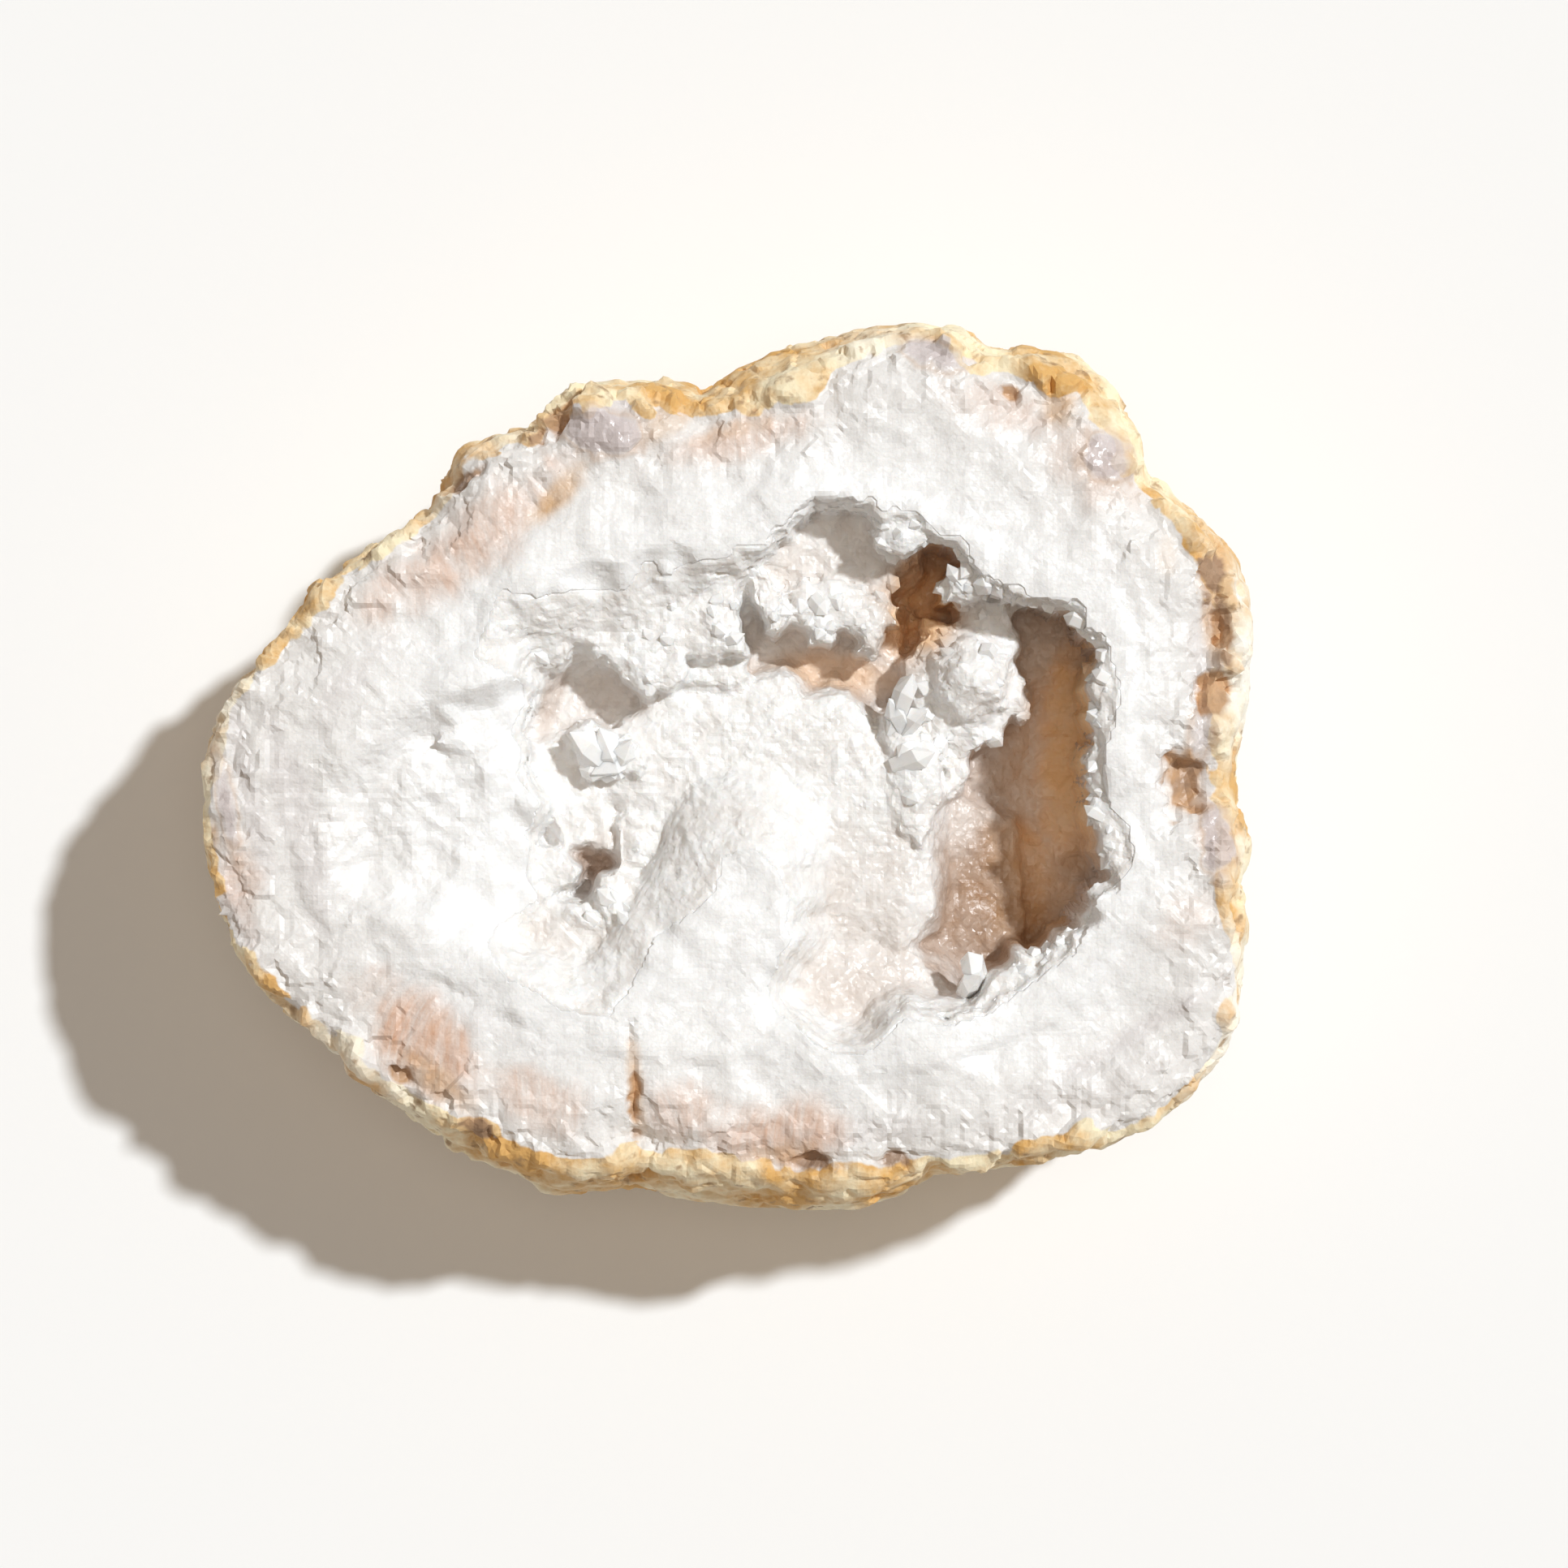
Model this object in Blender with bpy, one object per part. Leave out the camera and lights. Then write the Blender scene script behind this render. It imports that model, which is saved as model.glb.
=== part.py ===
"""Half of a white quartz geode, lying on its rounded back with the broken face and its hollow upward.

Two pieces: the stone, which is rind and solid quartz in one, and the crust of crystals that lines
its hollow. Metres, +Z up. The origin is on the surface it rests on, under the middle of its box.
X runs along the longest side and Y across it.
"""
import math
import random

import bmesh
import bpy
import numpy as np
from mathutils import Matrix, Vector, noise

MM = 0.001

# Driving sizes, in millimetres
FACE_HEIGHT = 36.0        # the broken face above the surface it rests on
FACE_RELIEF = 0.9         # how far the broken face rises and falls
BELLY_HEIGHT = 23.0       # height of the widest outline
BASE_RADIUS = 14.0        # the flat it rests on
BASE_CENTRE = (1.4, -1.2)
HOLLOW_CENTRE = (6.0, -0.5)
CRUST_THICKNESS = 3.2     # crystals between the hollow's stone wall and the air
CRUST_GAP = 0.3           # clearance between the stone and the crust
HOLLOW_DEPTH = 18.0       # floor of the open hollow under the face, away from its pits
ABOVE_FACE = 8.0          # how far the cutters reach above the face

# Seen from above, the widest outline of the stone, counter-clockwise from the right-hand end
STONE_OUTLINE = [
    (48.1, -0.5), (48.7, 6.7), (49.7, 11.3), (49.7, 15.2), (47.8, 20.4), (43.8, 24.4), (39.6, 27.0),
    (38.3, 32.2), (36.0, 36.5), (32.0, 39.4), (25.4, 39.4), (21.1, 42.7), (11.6, 41.3), (1.2, 37.8),
    (-2.8, 35.5), (-15.5, 35.8), (-19.8, 30.9), (-25.1, 30.2), (-28.4, 23.1), (-35.3, 19.6),
    (-41.8, 12.6), (-45.4, 8.3), (-47.4, 6.0), (-49.0, -0.5), (-50.0, -6.1), (-48.7, -12.4),
    (-45.4, -19.9), (-38.9, -24.8), (-33.0, -31.1), (-27.7, -34.7), (-21.1, -37.9), (-15.2, -41.1),
    (-10.6, -39.6), (1.2, -41.2), (7.7, -42.5), (11.6, -42.4), (19.5, -38.6), (25.4, -37.9),
    (36.0, -35.3), (42.5, -32.4), (45.8, -28.1), (48.4, -22.9), (49.1, -14.4), (48.1, -11.1),
    (49.4, -8.4),
]

# Width of rind seen round the face from above, against the direction in degrees
RIND_WIDTH = [(0, 2.6), (12, 3.4), (30, 3.0), (50, 4.2), (70, 4.6), (88, 4.6), (100, 3.0), (118, 1.4),
              (140, 2.2), (160, 0.8), (180, 0.7), (205, 0.8), (225, 1.6), (245, 3.4), (262, 4.4),
              (280, 4.4), (300, 2.2), (318, 1.0), (335, 1.8), (350, 2.4)]

# Chips and ledges broken out of the face near its rim: x, y, how far they reach and how deep
CHIPS = [
    (-30.5, 24.8, 5.5, 4.0),
    (-18.5, 32.6, 4.5, 3.4),
    (-42.0, 11.5, 5.0, 2.2),
    (46.2, 13.5, 5.5, 2.6),
    (44.6, -1.8, 4.0, 2.8),
    (-8.6, -35.5, 4.5, 2.4),
    (28.6, 34.5, 5.0, 2.0),
    (3.0, -39.0, 6.0, 2.2),
    (39.0, -24.0, 5.0, 1.4),
]

# Opening of the stone's hollow at the face, before the crust fills its edge
HOLLOW_OUTLINE = [
    (37.7, 3.4), (38.5, 11.1), (36.2, 17.6), (26.2, 19.5), (19.3, 24.5), (10.9, 27.2), (1.7, 25.6),
    (-7.6, 24.9), (-16.8, 23.3), (-22.9, 16.4), (-23.7, 11.1), (-32.1, 8.0), (-39.4, 2.6),
    (-41.3, -8.9), (-39.0, -16.6), (-30.6, -18.5), (-24.4, -20.8), (-19.1, -24.6), (-12.2, -26.6),
    (-3.7, -28.1), (2.4, -27.3), (9.3, -29.6), (15.5, -28.9), (21.6, -27.3), (28.5, -25.0),
    (34.7, -20.4), (36.6, -15.8), (39.6, -11.2), (38.1, -4.3),
]

# Edge of the open air between the crystals, at the face
AIR_OUTLINE = [
    (34.5, 1.5), (35.2, 9.0), (33.4, 13.0), (31.1, 14.7), (26.8, 16.2), (22.4, 19.4), (19.4, 21.3),
    (17.4, 19.7), (13.9, 22.5), (13.5, 24.4), (8.4, 24.4), (4.0, 20.3), (-3.0, 19.5), (-15.2, 19.5),
    (-19.8, 14.1), (-21.4, 8.4), (-30.4, 5.4), (-36.3, 1.5), (-38.2, -8.4), (-37.5, -13.7),
    (-27.1, -15.0), (-22.9, -17.9), (-17.8, -21.4), (-11.6, -22.9), (-9.2, -21.0), (-7.6, -16.3),
    (-2.2, -9.7), (2.2, -6.5), (5.3, -11.2), (6.5, -16.3), (4.1, -19.8), (4.5, -22.6), (8.8, -26.3),
    (11.6, -26.7), (14.7, -25.7), (16.6, -23.3), (20.5, -23.9), (27.2, -21.4), (31.9, -17.9),
    (33.5, -15.1), (34.3, -12.0), (36.6, -10.8), (35.0, -7.3), (34.3, -3.4),
]

# How steeply the crystals fall from that edge, against the direction in degrees
WALL_SLOPE = [(0, 16.0), (45, 16.0), (90, 14.0), (112, 8.0), (125, 4.0), (150, 2.5), (180, 0.5),
              (205, 0.9), (225, 2.0), (250, 1.8), (275, 1.5), (300, 1.6), (325, 4.0), (340, 16.0)]

# Broad raised beds on the hollow's floor: x, y, half length, half width, turn, depth, dome, side slope
BEDS = [
    (3.5, -2.8, 14.5, 8.6, -8.0, 8.6, 2.0, 4.0),
    (8.0, -10.0, 9.0, 8.5, 0.0, 9.5, 2.5, 3.0),
    (15.8, -3.5, 3.4, 9.5, 8.0, 8.5, 1.5, 8.0),
    (-30.0, -5.5, 12.6, 12.0, 0.0, 2.0, 2.0, 3.5),
    (-26.0, 2.0, 7.0, 7.0, 0.0, 2.0, 1.5, 4.0),
    (-10.5, 16.0, 13.0, 6.2, 8.0, 1.6, 1.6, 6.0),
    (0.0, 16.0, 5.6, 4.0, 10.0, 3.4, 1.5, 5.0),
    (-17.5, -15.8, 8.6, 5.2, -20.0, 6.0, 1.0, 3.0),
    (22.5, 8.5, 3.6, 4.2, 0.0, 10.5, 2.0, 3.0),
    (9.0, 19.0, 6.0, 3.6, 0.0, 11.0, 2.0, 3.5),
]

# Dark pits that go deeper: x, y, half length, half width, turn, depth
PITS = [
    (-15.8, 6.0, 4.6, 3.6, 50.0, 14.0),
    (-13.0, -9.6, 2.8, 2.2, 60.0, 13.0),
    (8.6, 9.6, 7.6, 2.4, -6.0, 19.0),
    (18.6, 15.2, 5.6, 2.8, 65.0, 20.0),
    (29.4, -2.5, 18.5, 9.8, 80.0, 23.0),
    (23.4, -14.5, 8.0, 5.0, 60.0, 21.0),
]

PIT_STEEPNESS = 4.5

# Lumps of grown-together crystals: x, y, depth of the top, half sizes along x, y and z, turn
LUMPS = [
    (-15.6, 13.2, 1.2, 5.6, 4.4, 2.8, 10.0),
    (-8.4, 11.8, 2.2, 4.6, 4.8, 3.2, -15.0),
    (-0.6, 13.2, 3.0, 5.0, 3.8, 2.8, 5.0),
    (4.0, 15.8, 4.0, 1.9, 3.4, 3.6, -10.0),
    (10.4, 14.2, 5.0, 5.3, 3.7, 3.4, -12.0),
    (14.6, 17.4, 8.0, 3.6, 3.6, 4.0, 0.0),
    (6.4, 19.6, 7.0, 2.8, 2.3, 3.2, 0.0),
    (23.2, 8.2, 5.2, 4.5, 4.2, 4.5, 0.0),
    (24.9, 13.0, 8.0, 3.6, 3.2, 4.5, 0.0),
    (19.4, 11.0, 8.2, 2.9, 3.3, 4.0, 20.0),
    (27.6, 6.2, 8.0, 2.0, 3.2, 4.0, 0.0),
    (24.2, 3.6, 7.4, 2.9, 2.4, 4.0, -20.0),
    (15.4, 4.2, 5.6, 2.9, 3.2, 4.0, 0.0),
    (17.8, -1.0, 6.4, 3.4, 4.2, 3.6, 15.0),
    (19.2, -7.2, 7.4, 3.2, 4.4, 3.6, 0.0),
    (-11.6, 1.6, 6.0, 4.0, 2.7, 3.4, -20.0),
    (-3.4, 2.8, 7.8, 6.2, 4.2, 2.8, 0.0),
    (5.2, 1.4, 6.9, 6.6, 5.0, 2.8, 0.0),
    (-4.2, -4.6, 7.4, 5.2, 3.8, 2.8, 20.0),
    (11.4, -5.4, 7.6, 6.4, 5.8, 2.8, 0.0),
    (16.4, -13.8, 9.8, 4.8, 4.2, 3.4, -30.0),
    (-9.4, -6.8, 6.8, 2.8, 2.3, 3.0, 0.0),
    (-10.6, -13.6, 4.8, 2.7, 3.2, 3.4, 0.0),
    (-14.0, -14.2, 5.0, 2.0, 1.9, 2.8, 0.0),
    (-17.4, -3.8, 3.6, 3.2, 5.8, 3.2, 8.0),
    (-23.6, 4.6, 2.2, 5.0, 3.2, 2.4, 15.0),
    (-31.0, -3.0, 1.2, 6.0, 6.6, 2.2, 0.0),
    (-21.0, -12.4, 3.6, 5.0, 2.8, 2.4, -25.0),
    (12.2, -19.6, 7.6, 3.2, 2.6, 3.0, 0.0),
    (18.2, -20.6, 6.6, 3.0, 2.6, 3.0, 0.0),
]

# Quartz points that stand out: tip x, y and depth, the way it points in degrees, its rise, width, length
POINTS = [
    (-15.7, 2.7, 5.6, 172.0, 14.0, 3.4, 8.0),
    (-13.6, -0.4, 6.4, 195.0, 6.0, 2.4, 6.0),
    (17.0, 8.9, 4.4, 68.0, 42.0, 1.7, 6.0),
    (17.6, 5.4, 5.0, 20.0, 25.0, 2.4, 6.0),
    (13.2, 6.6, 5.4, 120.0, 30.0, 2.0, 5.5),
    (21.9, -17.6, 4.4, 110.0, 24.0, 3.2, 7.5),
    (8.3, 10.7, 6.6, 262.0, -20.0, 2.6, 6.0),
    (13.6, 9.9, 6.8, 275.0, -16.0, 2.2, 6.0),
    (15.9, 12.8, 6.2, 330.0, 0.0, 2.0, 5.0),
    (-5.8, 17.2, 0.9, 280.0, 10.0, 1.8, 5.0),
    (-3.6, 8.0, 4.0, 320.0, -8.0, 3.0, 6.5),
    (-8.0, 6.3, 4.2, 262.0, -10.0, 2.8, 6.5),
    (2.4, 10.2, 4.0, 300.0, -5.0, 2.4, 6.0),
    (-16.5, 8.8, 2.4, 250.0, -10.0, 2.8, 6.5),
    (-12.1, 9.8, 2.8, 285.0, -10.0, 2.0, 5.5),
    (-19.6, 8.9, 1.8, 225.0, -5.0, 2.6, 6.0),
    (20.3, 15.6, 2.2, 196.0, -5.0, 2.8, 6.0),
    (17.4, 19.8, 1.6, 262.0, -6.0, 2.8, 5.5),
    (13.6, 21.4, 1.6, 222.0, 0.0, 2.6, 5.5),
    (24.4, 16.4, 2.0, 240.0, -8.0, 2.2, 5.0),
    (29.0, 13.9, 1.6, 250.0, -8.0, 2.0, 5.0),
    (21.6, 1.4, 7.0, 255.0, 10.0, 2.2, 5.5),
    (26.2, 1.6, 8.2, 290.0, 5.0, 2.2, 5.5),
    (28.6, 3.6, 8.4, 320.0, 5.0, 2.4, 5.5),
    (28.2, 10.4, 8.6, 30.0, 10.0, 2.2, 5.5),
    (20.7, 1.0, 6.6, 330.0, 20.0, 2.0, 5.0),
    (21.9, -4.0, 7.6, 350.0, 12.0, 2.6, 6.0),
    (22.6, -9.4, 8.4, 335.0, 12.0, 2.6, 6.0),
    (-8.0, -5.0, 6.0, 190.0, 22.0, 2.4, 5.5),
    (-11.4, -7.6, 6.2, 205.0, 14.0, 2.2, 5.5),
    (-13.4, -10.4, 4.2, 80.0, 20.0, 2.4, 6.0),
    (-8.2, -14.2, 3.6, 30.0, 30.0, 2.4, 5.5),
    (-14.2, -6.0, 3.2, 335.0, 8.0, 3.0, 6.5),
    (-14.8, -1.2, 3.6, 15.0, 5.0, 2.8, 6.5),
    (-20.4, -16.6, 4.2, 60.0, 40.0, 2.2, 5.0),
    (-25.0, -11.8, 2.4, 80.0, 40.0, 2.2, 5.0),
    (-27.6, 2.0, 1.0, 200.0, 40.0, 2.4, 5.0),
    (-35.0, -6.4, 0.6, 20.0, 40.0, 2.2, 5.0),
    (9.6, -17.2, 6.6, 60.0, 30.0, 2.2, 5.5),
    (14.6, -18.0, 6.8, 120.0, 30.0, 2.4, 5.5),
]

# Teeth of crystal on the steep walls, each row along the air's edge between two directions in degrees
TOOTH_ROWS = [
    (334.0, 397.0, 15, 3.6),
    (398.0, 425.0, 6, 3.0),
    (302.0, 332.0, 8, 3.0),
    (70.0, 92.0, 5, 3.2),
    (112.0, 140.0, 6, 2.4),
    (262.0, 296.0, 7, 3.4),
]

# Mesh sizes
STONE_COLUMNS = 80
HOLLOW_COLUMNS = 48
HOLLOW_SMOOTHING = 2
DRUSE_CELL = 2.5
LUMP_ROUGHNESS = 0.10
SMALL_LUMP = 2.9
CRUST_FACES_KEPT = 0.82
SEED = 7


def against_angle(pairs, degrees):
    """A value given at some directions, read in between, all the way round."""
    angles, values = zip(*pairs)
    return np.interp(degrees, angles, values, period=360.0)


def outline_reach(outline, centre, degrees):
    """How far an outline lies from a centre, in a given direction."""
    pairs = []
    for x, y in outline:
        dx, dy = x - centre[0], y - centre[1]
        pairs.append((math.degrees(math.atan2(dy, dx)) % 360.0, math.hypot(dx, dy)))
    return against_angle(sorted(pairs), degrees)


def depth_inside(outline, x, y):
    """Distance from a point to the outline, minus that distance outside it, and the nearest place on it."""
    nearest, place, inside = math.inf, (x, y), False
    for (ax, ay), (bx, by) in zip(outline, outline[1:] + outline[:1]):
        ex, ey = bx - ax, by - ay
        along = ((x - ax) * ex + (y - ay) * ey) / (ex * ex + ey * ey)
        along = min(1.0, max(0.0, along))
        on_edge = (ax + along * ex, ay + along * ey)
        away = math.hypot(on_edge[0] - x, on_edge[1] - y)
        if away < nearest:
            nearest, place = away, on_edge
        if (ay > y) != (by > y) and x < ax + (y - ay) / ey * ex:
            inside = not inside
    return (nearest if inside else -nearest), place


def roughness(x, y, z, size):
    """Even noise from -1 to 1 with bumps of about the given size, in millimetres."""
    return noise.noise(Vector((x, y, z)) / size)


def face_level(x, y):
    """Height of the broken face."""
    waves = roughness(x, y, 3.0, 17.0) + 0.45 * roughness(x, y, 9.0, 5.5)
    chipped = sum(drop * max(0.0, 1.0 - math.hypot(x - chip_x, y - chip_y) / reach)
                  for chip_x, chip_y, reach, drop in CHIPS)
    return FACE_HEIGHT + FACE_RELIEF * waves - chipped


def druse_depth(x, y):
    """Depth of the crystal bed under the face, without its lumps and points."""
    inside, _ = depth_inside(AIR_OUTLINE, x, y)
    if inside <= 0.0:
        return 0.0
    direction = math.degrees(math.atan2(y - HOLLOW_CENTRE[1], x - HOLLOW_CENTRE[0])) % 360.0
    depth = min(HOLLOW_DEPTH, inside * against_angle(WALL_SLOPE, direction))
    for bed_x, bed_y, half_length, half_width, turn, top, dome, side in BEDS:
        away = Matrix.Rotation(math.radians(-turn), 2) @ Vector((x - bed_x, y - bed_y))
        share = math.hypot(away.x / half_length, away.y / half_width)
        outside = max(0.0, share - 1.0) * min(half_length, half_width)
        depth = min(depth, top + dome * min(share, 1.0) ** 2 + side * outside)
    for pit_x, pit_y, half_length, half_width, turn, bottom in PITS:
        away = Matrix.Rotation(math.radians(-turn), 2) @ Vector((x - pit_x, y - pit_y))
        share = math.hypot(away.x / half_length, away.y / half_width)
        shelf = min(bottom, inside * against_angle(WALL_SLOPE, direction))
        depth = max(depth, shelf * min(1.0, PIT_STEEPNESS * max(0.0, 1.0 - share)))
    return depth


def hollow_depth(x, y):
    """Depth of the stone under the crust: the crystal bed widened by the crust's thickness."""
    deepest = druse_depth(x, y)
    for step in range(8):
        turn = math.radians(45.0 * step)
        beside = (x + CRUST_THICKNESS * math.cos(turn), y + CRUST_THICKNESS * math.sin(turn))
        deepest = max(deepest, druse_depth(*beside))
    return deepest + CRUST_THICKNESS


def new_object(name, bm, collection):
    """Turn a mesh under construction, in millimetres, into an object in metres."""
    bmesh.ops.scale(bm, vec=(MM, MM, MM), verts=bm.verts)
    mesh = bpy.data.meshes.new(name)
    bm.to_mesh(mesh)
    bm.free()
    piece = bpy.data.objects.new(name, mesh)
    collection.objects.link(piece)
    return piece


def ball_rows(bm, columns, rows):
    """Add a ball and give its vertices with their direction and row, counted up from the bottom."""
    ball = bmesh.ops.create_uvsphere(bm, u_segments=columns, v_segments=rows, radius=1.0)
    found = []
    for vertex in ball["verts"]:
        row = round(math.acos(max(-1.0, min(1.0, -vertex.co.z))) / math.pi * rows)
        degrees = math.degrees(math.atan2(vertex.co.y, vertex.co.x)) % 360.0
        found.append((vertex, degrees, row))
    return found


def stone_section(degrees):
    """Stations up the stone's outside in one direction: share of the reach from centre, height."""
    reach = outline_reach(STONE_OUTLINE, (0.0, 0.0), degrees)
    rim = reach - against_angle(RIND_WIDTH, degrees)
    stations = [(0.0, 0.0), (BASE_RADIUS, 0.0)]
    for turn in (9, 18, 27, 36, 46, 57, 68, 79, 90):
        around = math.radians(turn)
        spread = BASE_RADIUS + (reach - BASE_RADIUS) * math.sin(around)
        stations.append((spread, BELLY_HEIGHT * (1.0 - math.cos(around))))
    stations.append((reach - 0.22 * (reach - rim), 0.55 * BELLY_HEIGHT + 0.45 * FACE_HEIGHT))
    stations.append((reach - 0.62 * (reach - rim), 0.16 * BELLY_HEIGHT + 0.84 * FACE_HEIGHT))
    for share in (1.0, 0.935, 0.86, 0.76):
        stations.append((rim * share, None))
    return stations


def build_stone(collection):
    """The rind and the solid quartz, before the hollow is cut."""
    bm = bmesh.new()
    rows = len(stone_section(0.0))
    dice = random.Random(SEED)
    for vertex, degrees, row in ball_rows(bm, STONE_COLUMNS, rows):
        if row == rows:
            vertex.co = (*HOLLOW_CENTRE, FACE_HEIGHT)
            continue
        spread, height = stone_section(degrees)[row]
        around = Vector((math.cos(math.radians(degrees)), math.sin(math.radians(degrees))))
        base_share = max(0.0, 1.0 - (height or FACE_HEIGHT) / BELLY_HEIGHT)
        place = around * spread + Vector(BASE_CENTRE) * base_share
        if height is None:
            place += around * dice.uniform(-0.5, 0.5)
            edge_drop = dice.uniform(0.2, 1.3) if row == rows - 4 else dice.uniform(-0.25, 0.25)
            vertex.co = (*place, face_level(*place) - edge_drop)
            continue
        lump = 1.25 * roughness(*place, height, 11.0) + 0.55 * roughness(*place, height, 4.5)
        fade = min(1.0, height / 6.0) * (0.25 + 0.75 * abs(height / BELLY_HEIGHT - 1.0) ** 0.5)
        out = Vector((*around, (height - BELLY_HEIGHT) / BELLY_HEIGHT)).normalized()
        vertex.co = Vector((*place, height)) + out * lump * fade
    bmesh.ops.recalc_face_normals(bm, faces=bm.faces)
    return new_object("geode_shell", bm, collection)


def build_hollow(name, collection, clearance=0.0):
    """The hollow in the stone as a solid, drawn in all round by a clearance."""
    bm = bmesh.new()
    shares = [0.0, 0.14, 0.29, 0.44, 0.58, 0.71, 0.83, 0.93, 1.0]
    rows = len(shares) + 1
    floor = []
    for vertex, degrees, row in ball_rows(bm, HOLLOW_COLUMNS, rows):
        reach = outline_reach(HOLLOW_OUTLINE, HOLLOW_CENTRE, degrees)
        around = Vector((math.cos(math.radians(degrees)), math.sin(math.radians(degrees))))
        if row >= len(shares):
            share = 1.0 if row == len(shares) else 0.0
            place = Vector(HOLLOW_CENTRE) + around * reach * share
            vertex.co = (*place, FACE_HEIGHT + ABOVE_FACE)
            continue
        place = Vector(HOLLOW_CENTRE) + around * reach * shares[row]
        if row == len(shares) - 1:
            vertex.co = (*place, FACE_HEIGHT - 0.8 * CRUST_THICKNESS)
            continue
        vertex.co = (*place, FACE_HEIGHT - hollow_depth(*place))
        floor.append(vertex)
    for _ in range(HOLLOW_SMOOTHING):
        bmesh.ops.smooth_vert(bm, verts=floor, factor=0.5, use_axis_z=True)
    bmesh.ops.triangulate(bm, faces=bm.faces)
    bmesh.ops.recalc_face_normals(bm, faces=bm.faces)
    bm.normal_update()
    for vertex in bm.verts:
        vertex.co -= vertex.normal * clearance
    return new_object(name, bm, collection)


def build_druse(collection):
    """The crystal bed as a block whose top is the broken-looking floor and walls of the hollow."""
    bm = bmesh.new()
    half = Vector((44.0, 31.0))
    columns, rows = round(2.0 * half.x / DRUSE_CELL), round(2.0 * half.y / DRUSE_CELL)
    bmesh.ops.create_grid(bm, x_segments=columns, y_segments=rows, size=1.0)
    dice = random.Random(SEED)
    for vertex in bm.verts:
        x, y = vertex.co.x * half.x - 1.0, vertex.co.y * half.y - 0.8
        if not vertex.is_boundary:
            x += dice.uniform(-0.3, 0.3) * DRUSE_CELL
            y += dice.uniform(-0.3, 0.3) * DRUSE_CELL
        inside, edge = depth_inside(AIR_OUTLINE, x, y)
        if abs(inside) < 0.4 * DRUSE_CELL:
            x, y = edge
        depth = druse_depth(x, y)
        rough = dice.uniform(-0.6, 0.6) + 0.9 * roughness(x, y, 0.0, 6.0)
        vertex.co = (x, y, face_level(x, y) - depth + (rough if depth > 1.5 else 0.3 * rough))
    bottom = bmesh.ops.extrude_face_region(bm, geom=bm.faces[:])["geom"]
    for element in bottom:
        if isinstance(element, bmesh.types.BMVert):
            element.co.z = -2.0
    bmesh.ops.triangulate(bm, faces=bm.faces)
    bmesh.ops.recalc_face_normals(bm, faces=bm.faces)
    return new_object("crystal_crust", bm, collection)


def add_lump(bm, dice, x, y, depth, half_x, half_y, half_z, turn):
    """A knot of crystals grown into one, with broad broken facets."""
    centre = Vector((x, y, face_level(x, y) - depth - half_z))
    finer = 2 if max(half_x, half_y) > SMALL_LUMP else 1
    lump = bmesh.ops.create_icosphere(bm, subdivisions=finer, radius=1.0)
    place = Matrix.Translation(centre) @ Matrix.Rotation(math.radians(turn), 4, "Z")
    sizes = Vector((half_x, half_y, half_z))
    for vertex in lump["verts"]:
        vertex.co = vertex.co * (1.0 + dice.uniform(-LUMP_ROUGHNESS, LUMP_ROUGHNESS))
        vertex.co = place @ (vertex.co * sizes)


def add_point(bm, dice, tip, heading, rise, width, length):
    """A six-sided quartz crystal with a pointed end, its tip in a given place."""
    radius, cap = width / 2.0, 0.75 * width
    shaft = length - cap
    crystal = bmesh.ops.create_cone(bm, cap_ends=True, segments=6, radius1=radius, radius2=radius,
                                    depth=shaft, matrix=Matrix.Translation((0, 0, -cap - shaft / 2.0)))
    end = max((face for vertex in crystal["verts"] for face in vertex.link_faces if len(face.verts) == 6),
              key=lambda face: face.calc_center_median().z)
    apex = bmesh.ops.poke(bm, faces=[end])["verts"][0]
    apex.co = (dice.uniform(-0.3, 0.3) * radius, dice.uniform(-0.3, 0.3) * radius, 0.0)
    up, aside = math.radians(rise), math.radians(heading)
    way = Vector((math.cos(up) * math.cos(aside), math.cos(up) * math.sin(aside), math.sin(up)))
    spin = Matrix.Rotation(dice.uniform(0.0, math.pi / 3.0), 4, "Z")
    place = Matrix.Translation(tip) @ way.to_track_quat("Z", "Y").to_matrix().to_4x4() @ spin
    for vertex in crystal["verts"] + [apex]:
        vertex.co = place @ vertex.co


def add_teeth(bm, dice, start, end, count, below):
    """A row of crystals that look out of the wall into the hollow."""
    for step in range(count):
        degrees = start + (end - start) * (step + 0.5) / count + dice.uniform(-1.0, 1.0)
        reach = outline_reach(AIR_OUTLINE, HOLLOW_CENTRE, degrees % 360.0)
        around = Vector((math.cos(math.radians(degrees)), math.sin(math.radians(degrees))))
        place = Vector(HOLLOW_CENTRE) + around * (reach - dice.uniform(0.4, 2.0))
        depth = below + dice.uniform(-1.2, 1.6)
        tip = Vector((*place, face_level(*place) - depth))
        add_point(bm, dice, tip, degrees + 180.0 + dice.uniform(-28.0, 28.0), dice.uniform(-8.0, 34.0),
                  dice.uniform(1.9, 2.9), dice.uniform(4.8, 6.0))


def build_growths(collection):
    """All the lumps and points, which still run through one another."""
    bm = bmesh.new()
    dice = random.Random(SEED + 1)
    for lump in LUMPS:
        add_lump(bm, dice, *lump)
    for x, y, depth, heading, rise, width, length in POINTS:
        tip = Vector((x, y, face_level(x, y) - depth))
        add_point(bm, dice, tip, heading, rise, width, length)
    for row in TOOTH_ROWS:
        add_teeth(bm, dice, *row)
    bmesh.ops.recalc_face_normals(bm, faces=bm.faces)
    return new_object("crystal_growths", bm, collection)


def cut(piece, operation, tool, crossing=False):
    """A Boolean with one of the hidden tools, which may run through itself."""
    modifier = piece.modifiers.new(tool.name, "BOOLEAN")
    modifier.operation = operation
    modifier.object = tool
    modifier.use_self = crossing


def thin_out(piece, share):
    """Let go of the slivers that the Booleans leave along their seams."""
    modifier = piece.modifiers.new("fewer slivers", "DECIMATE")
    modifier.ratio = share


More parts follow.
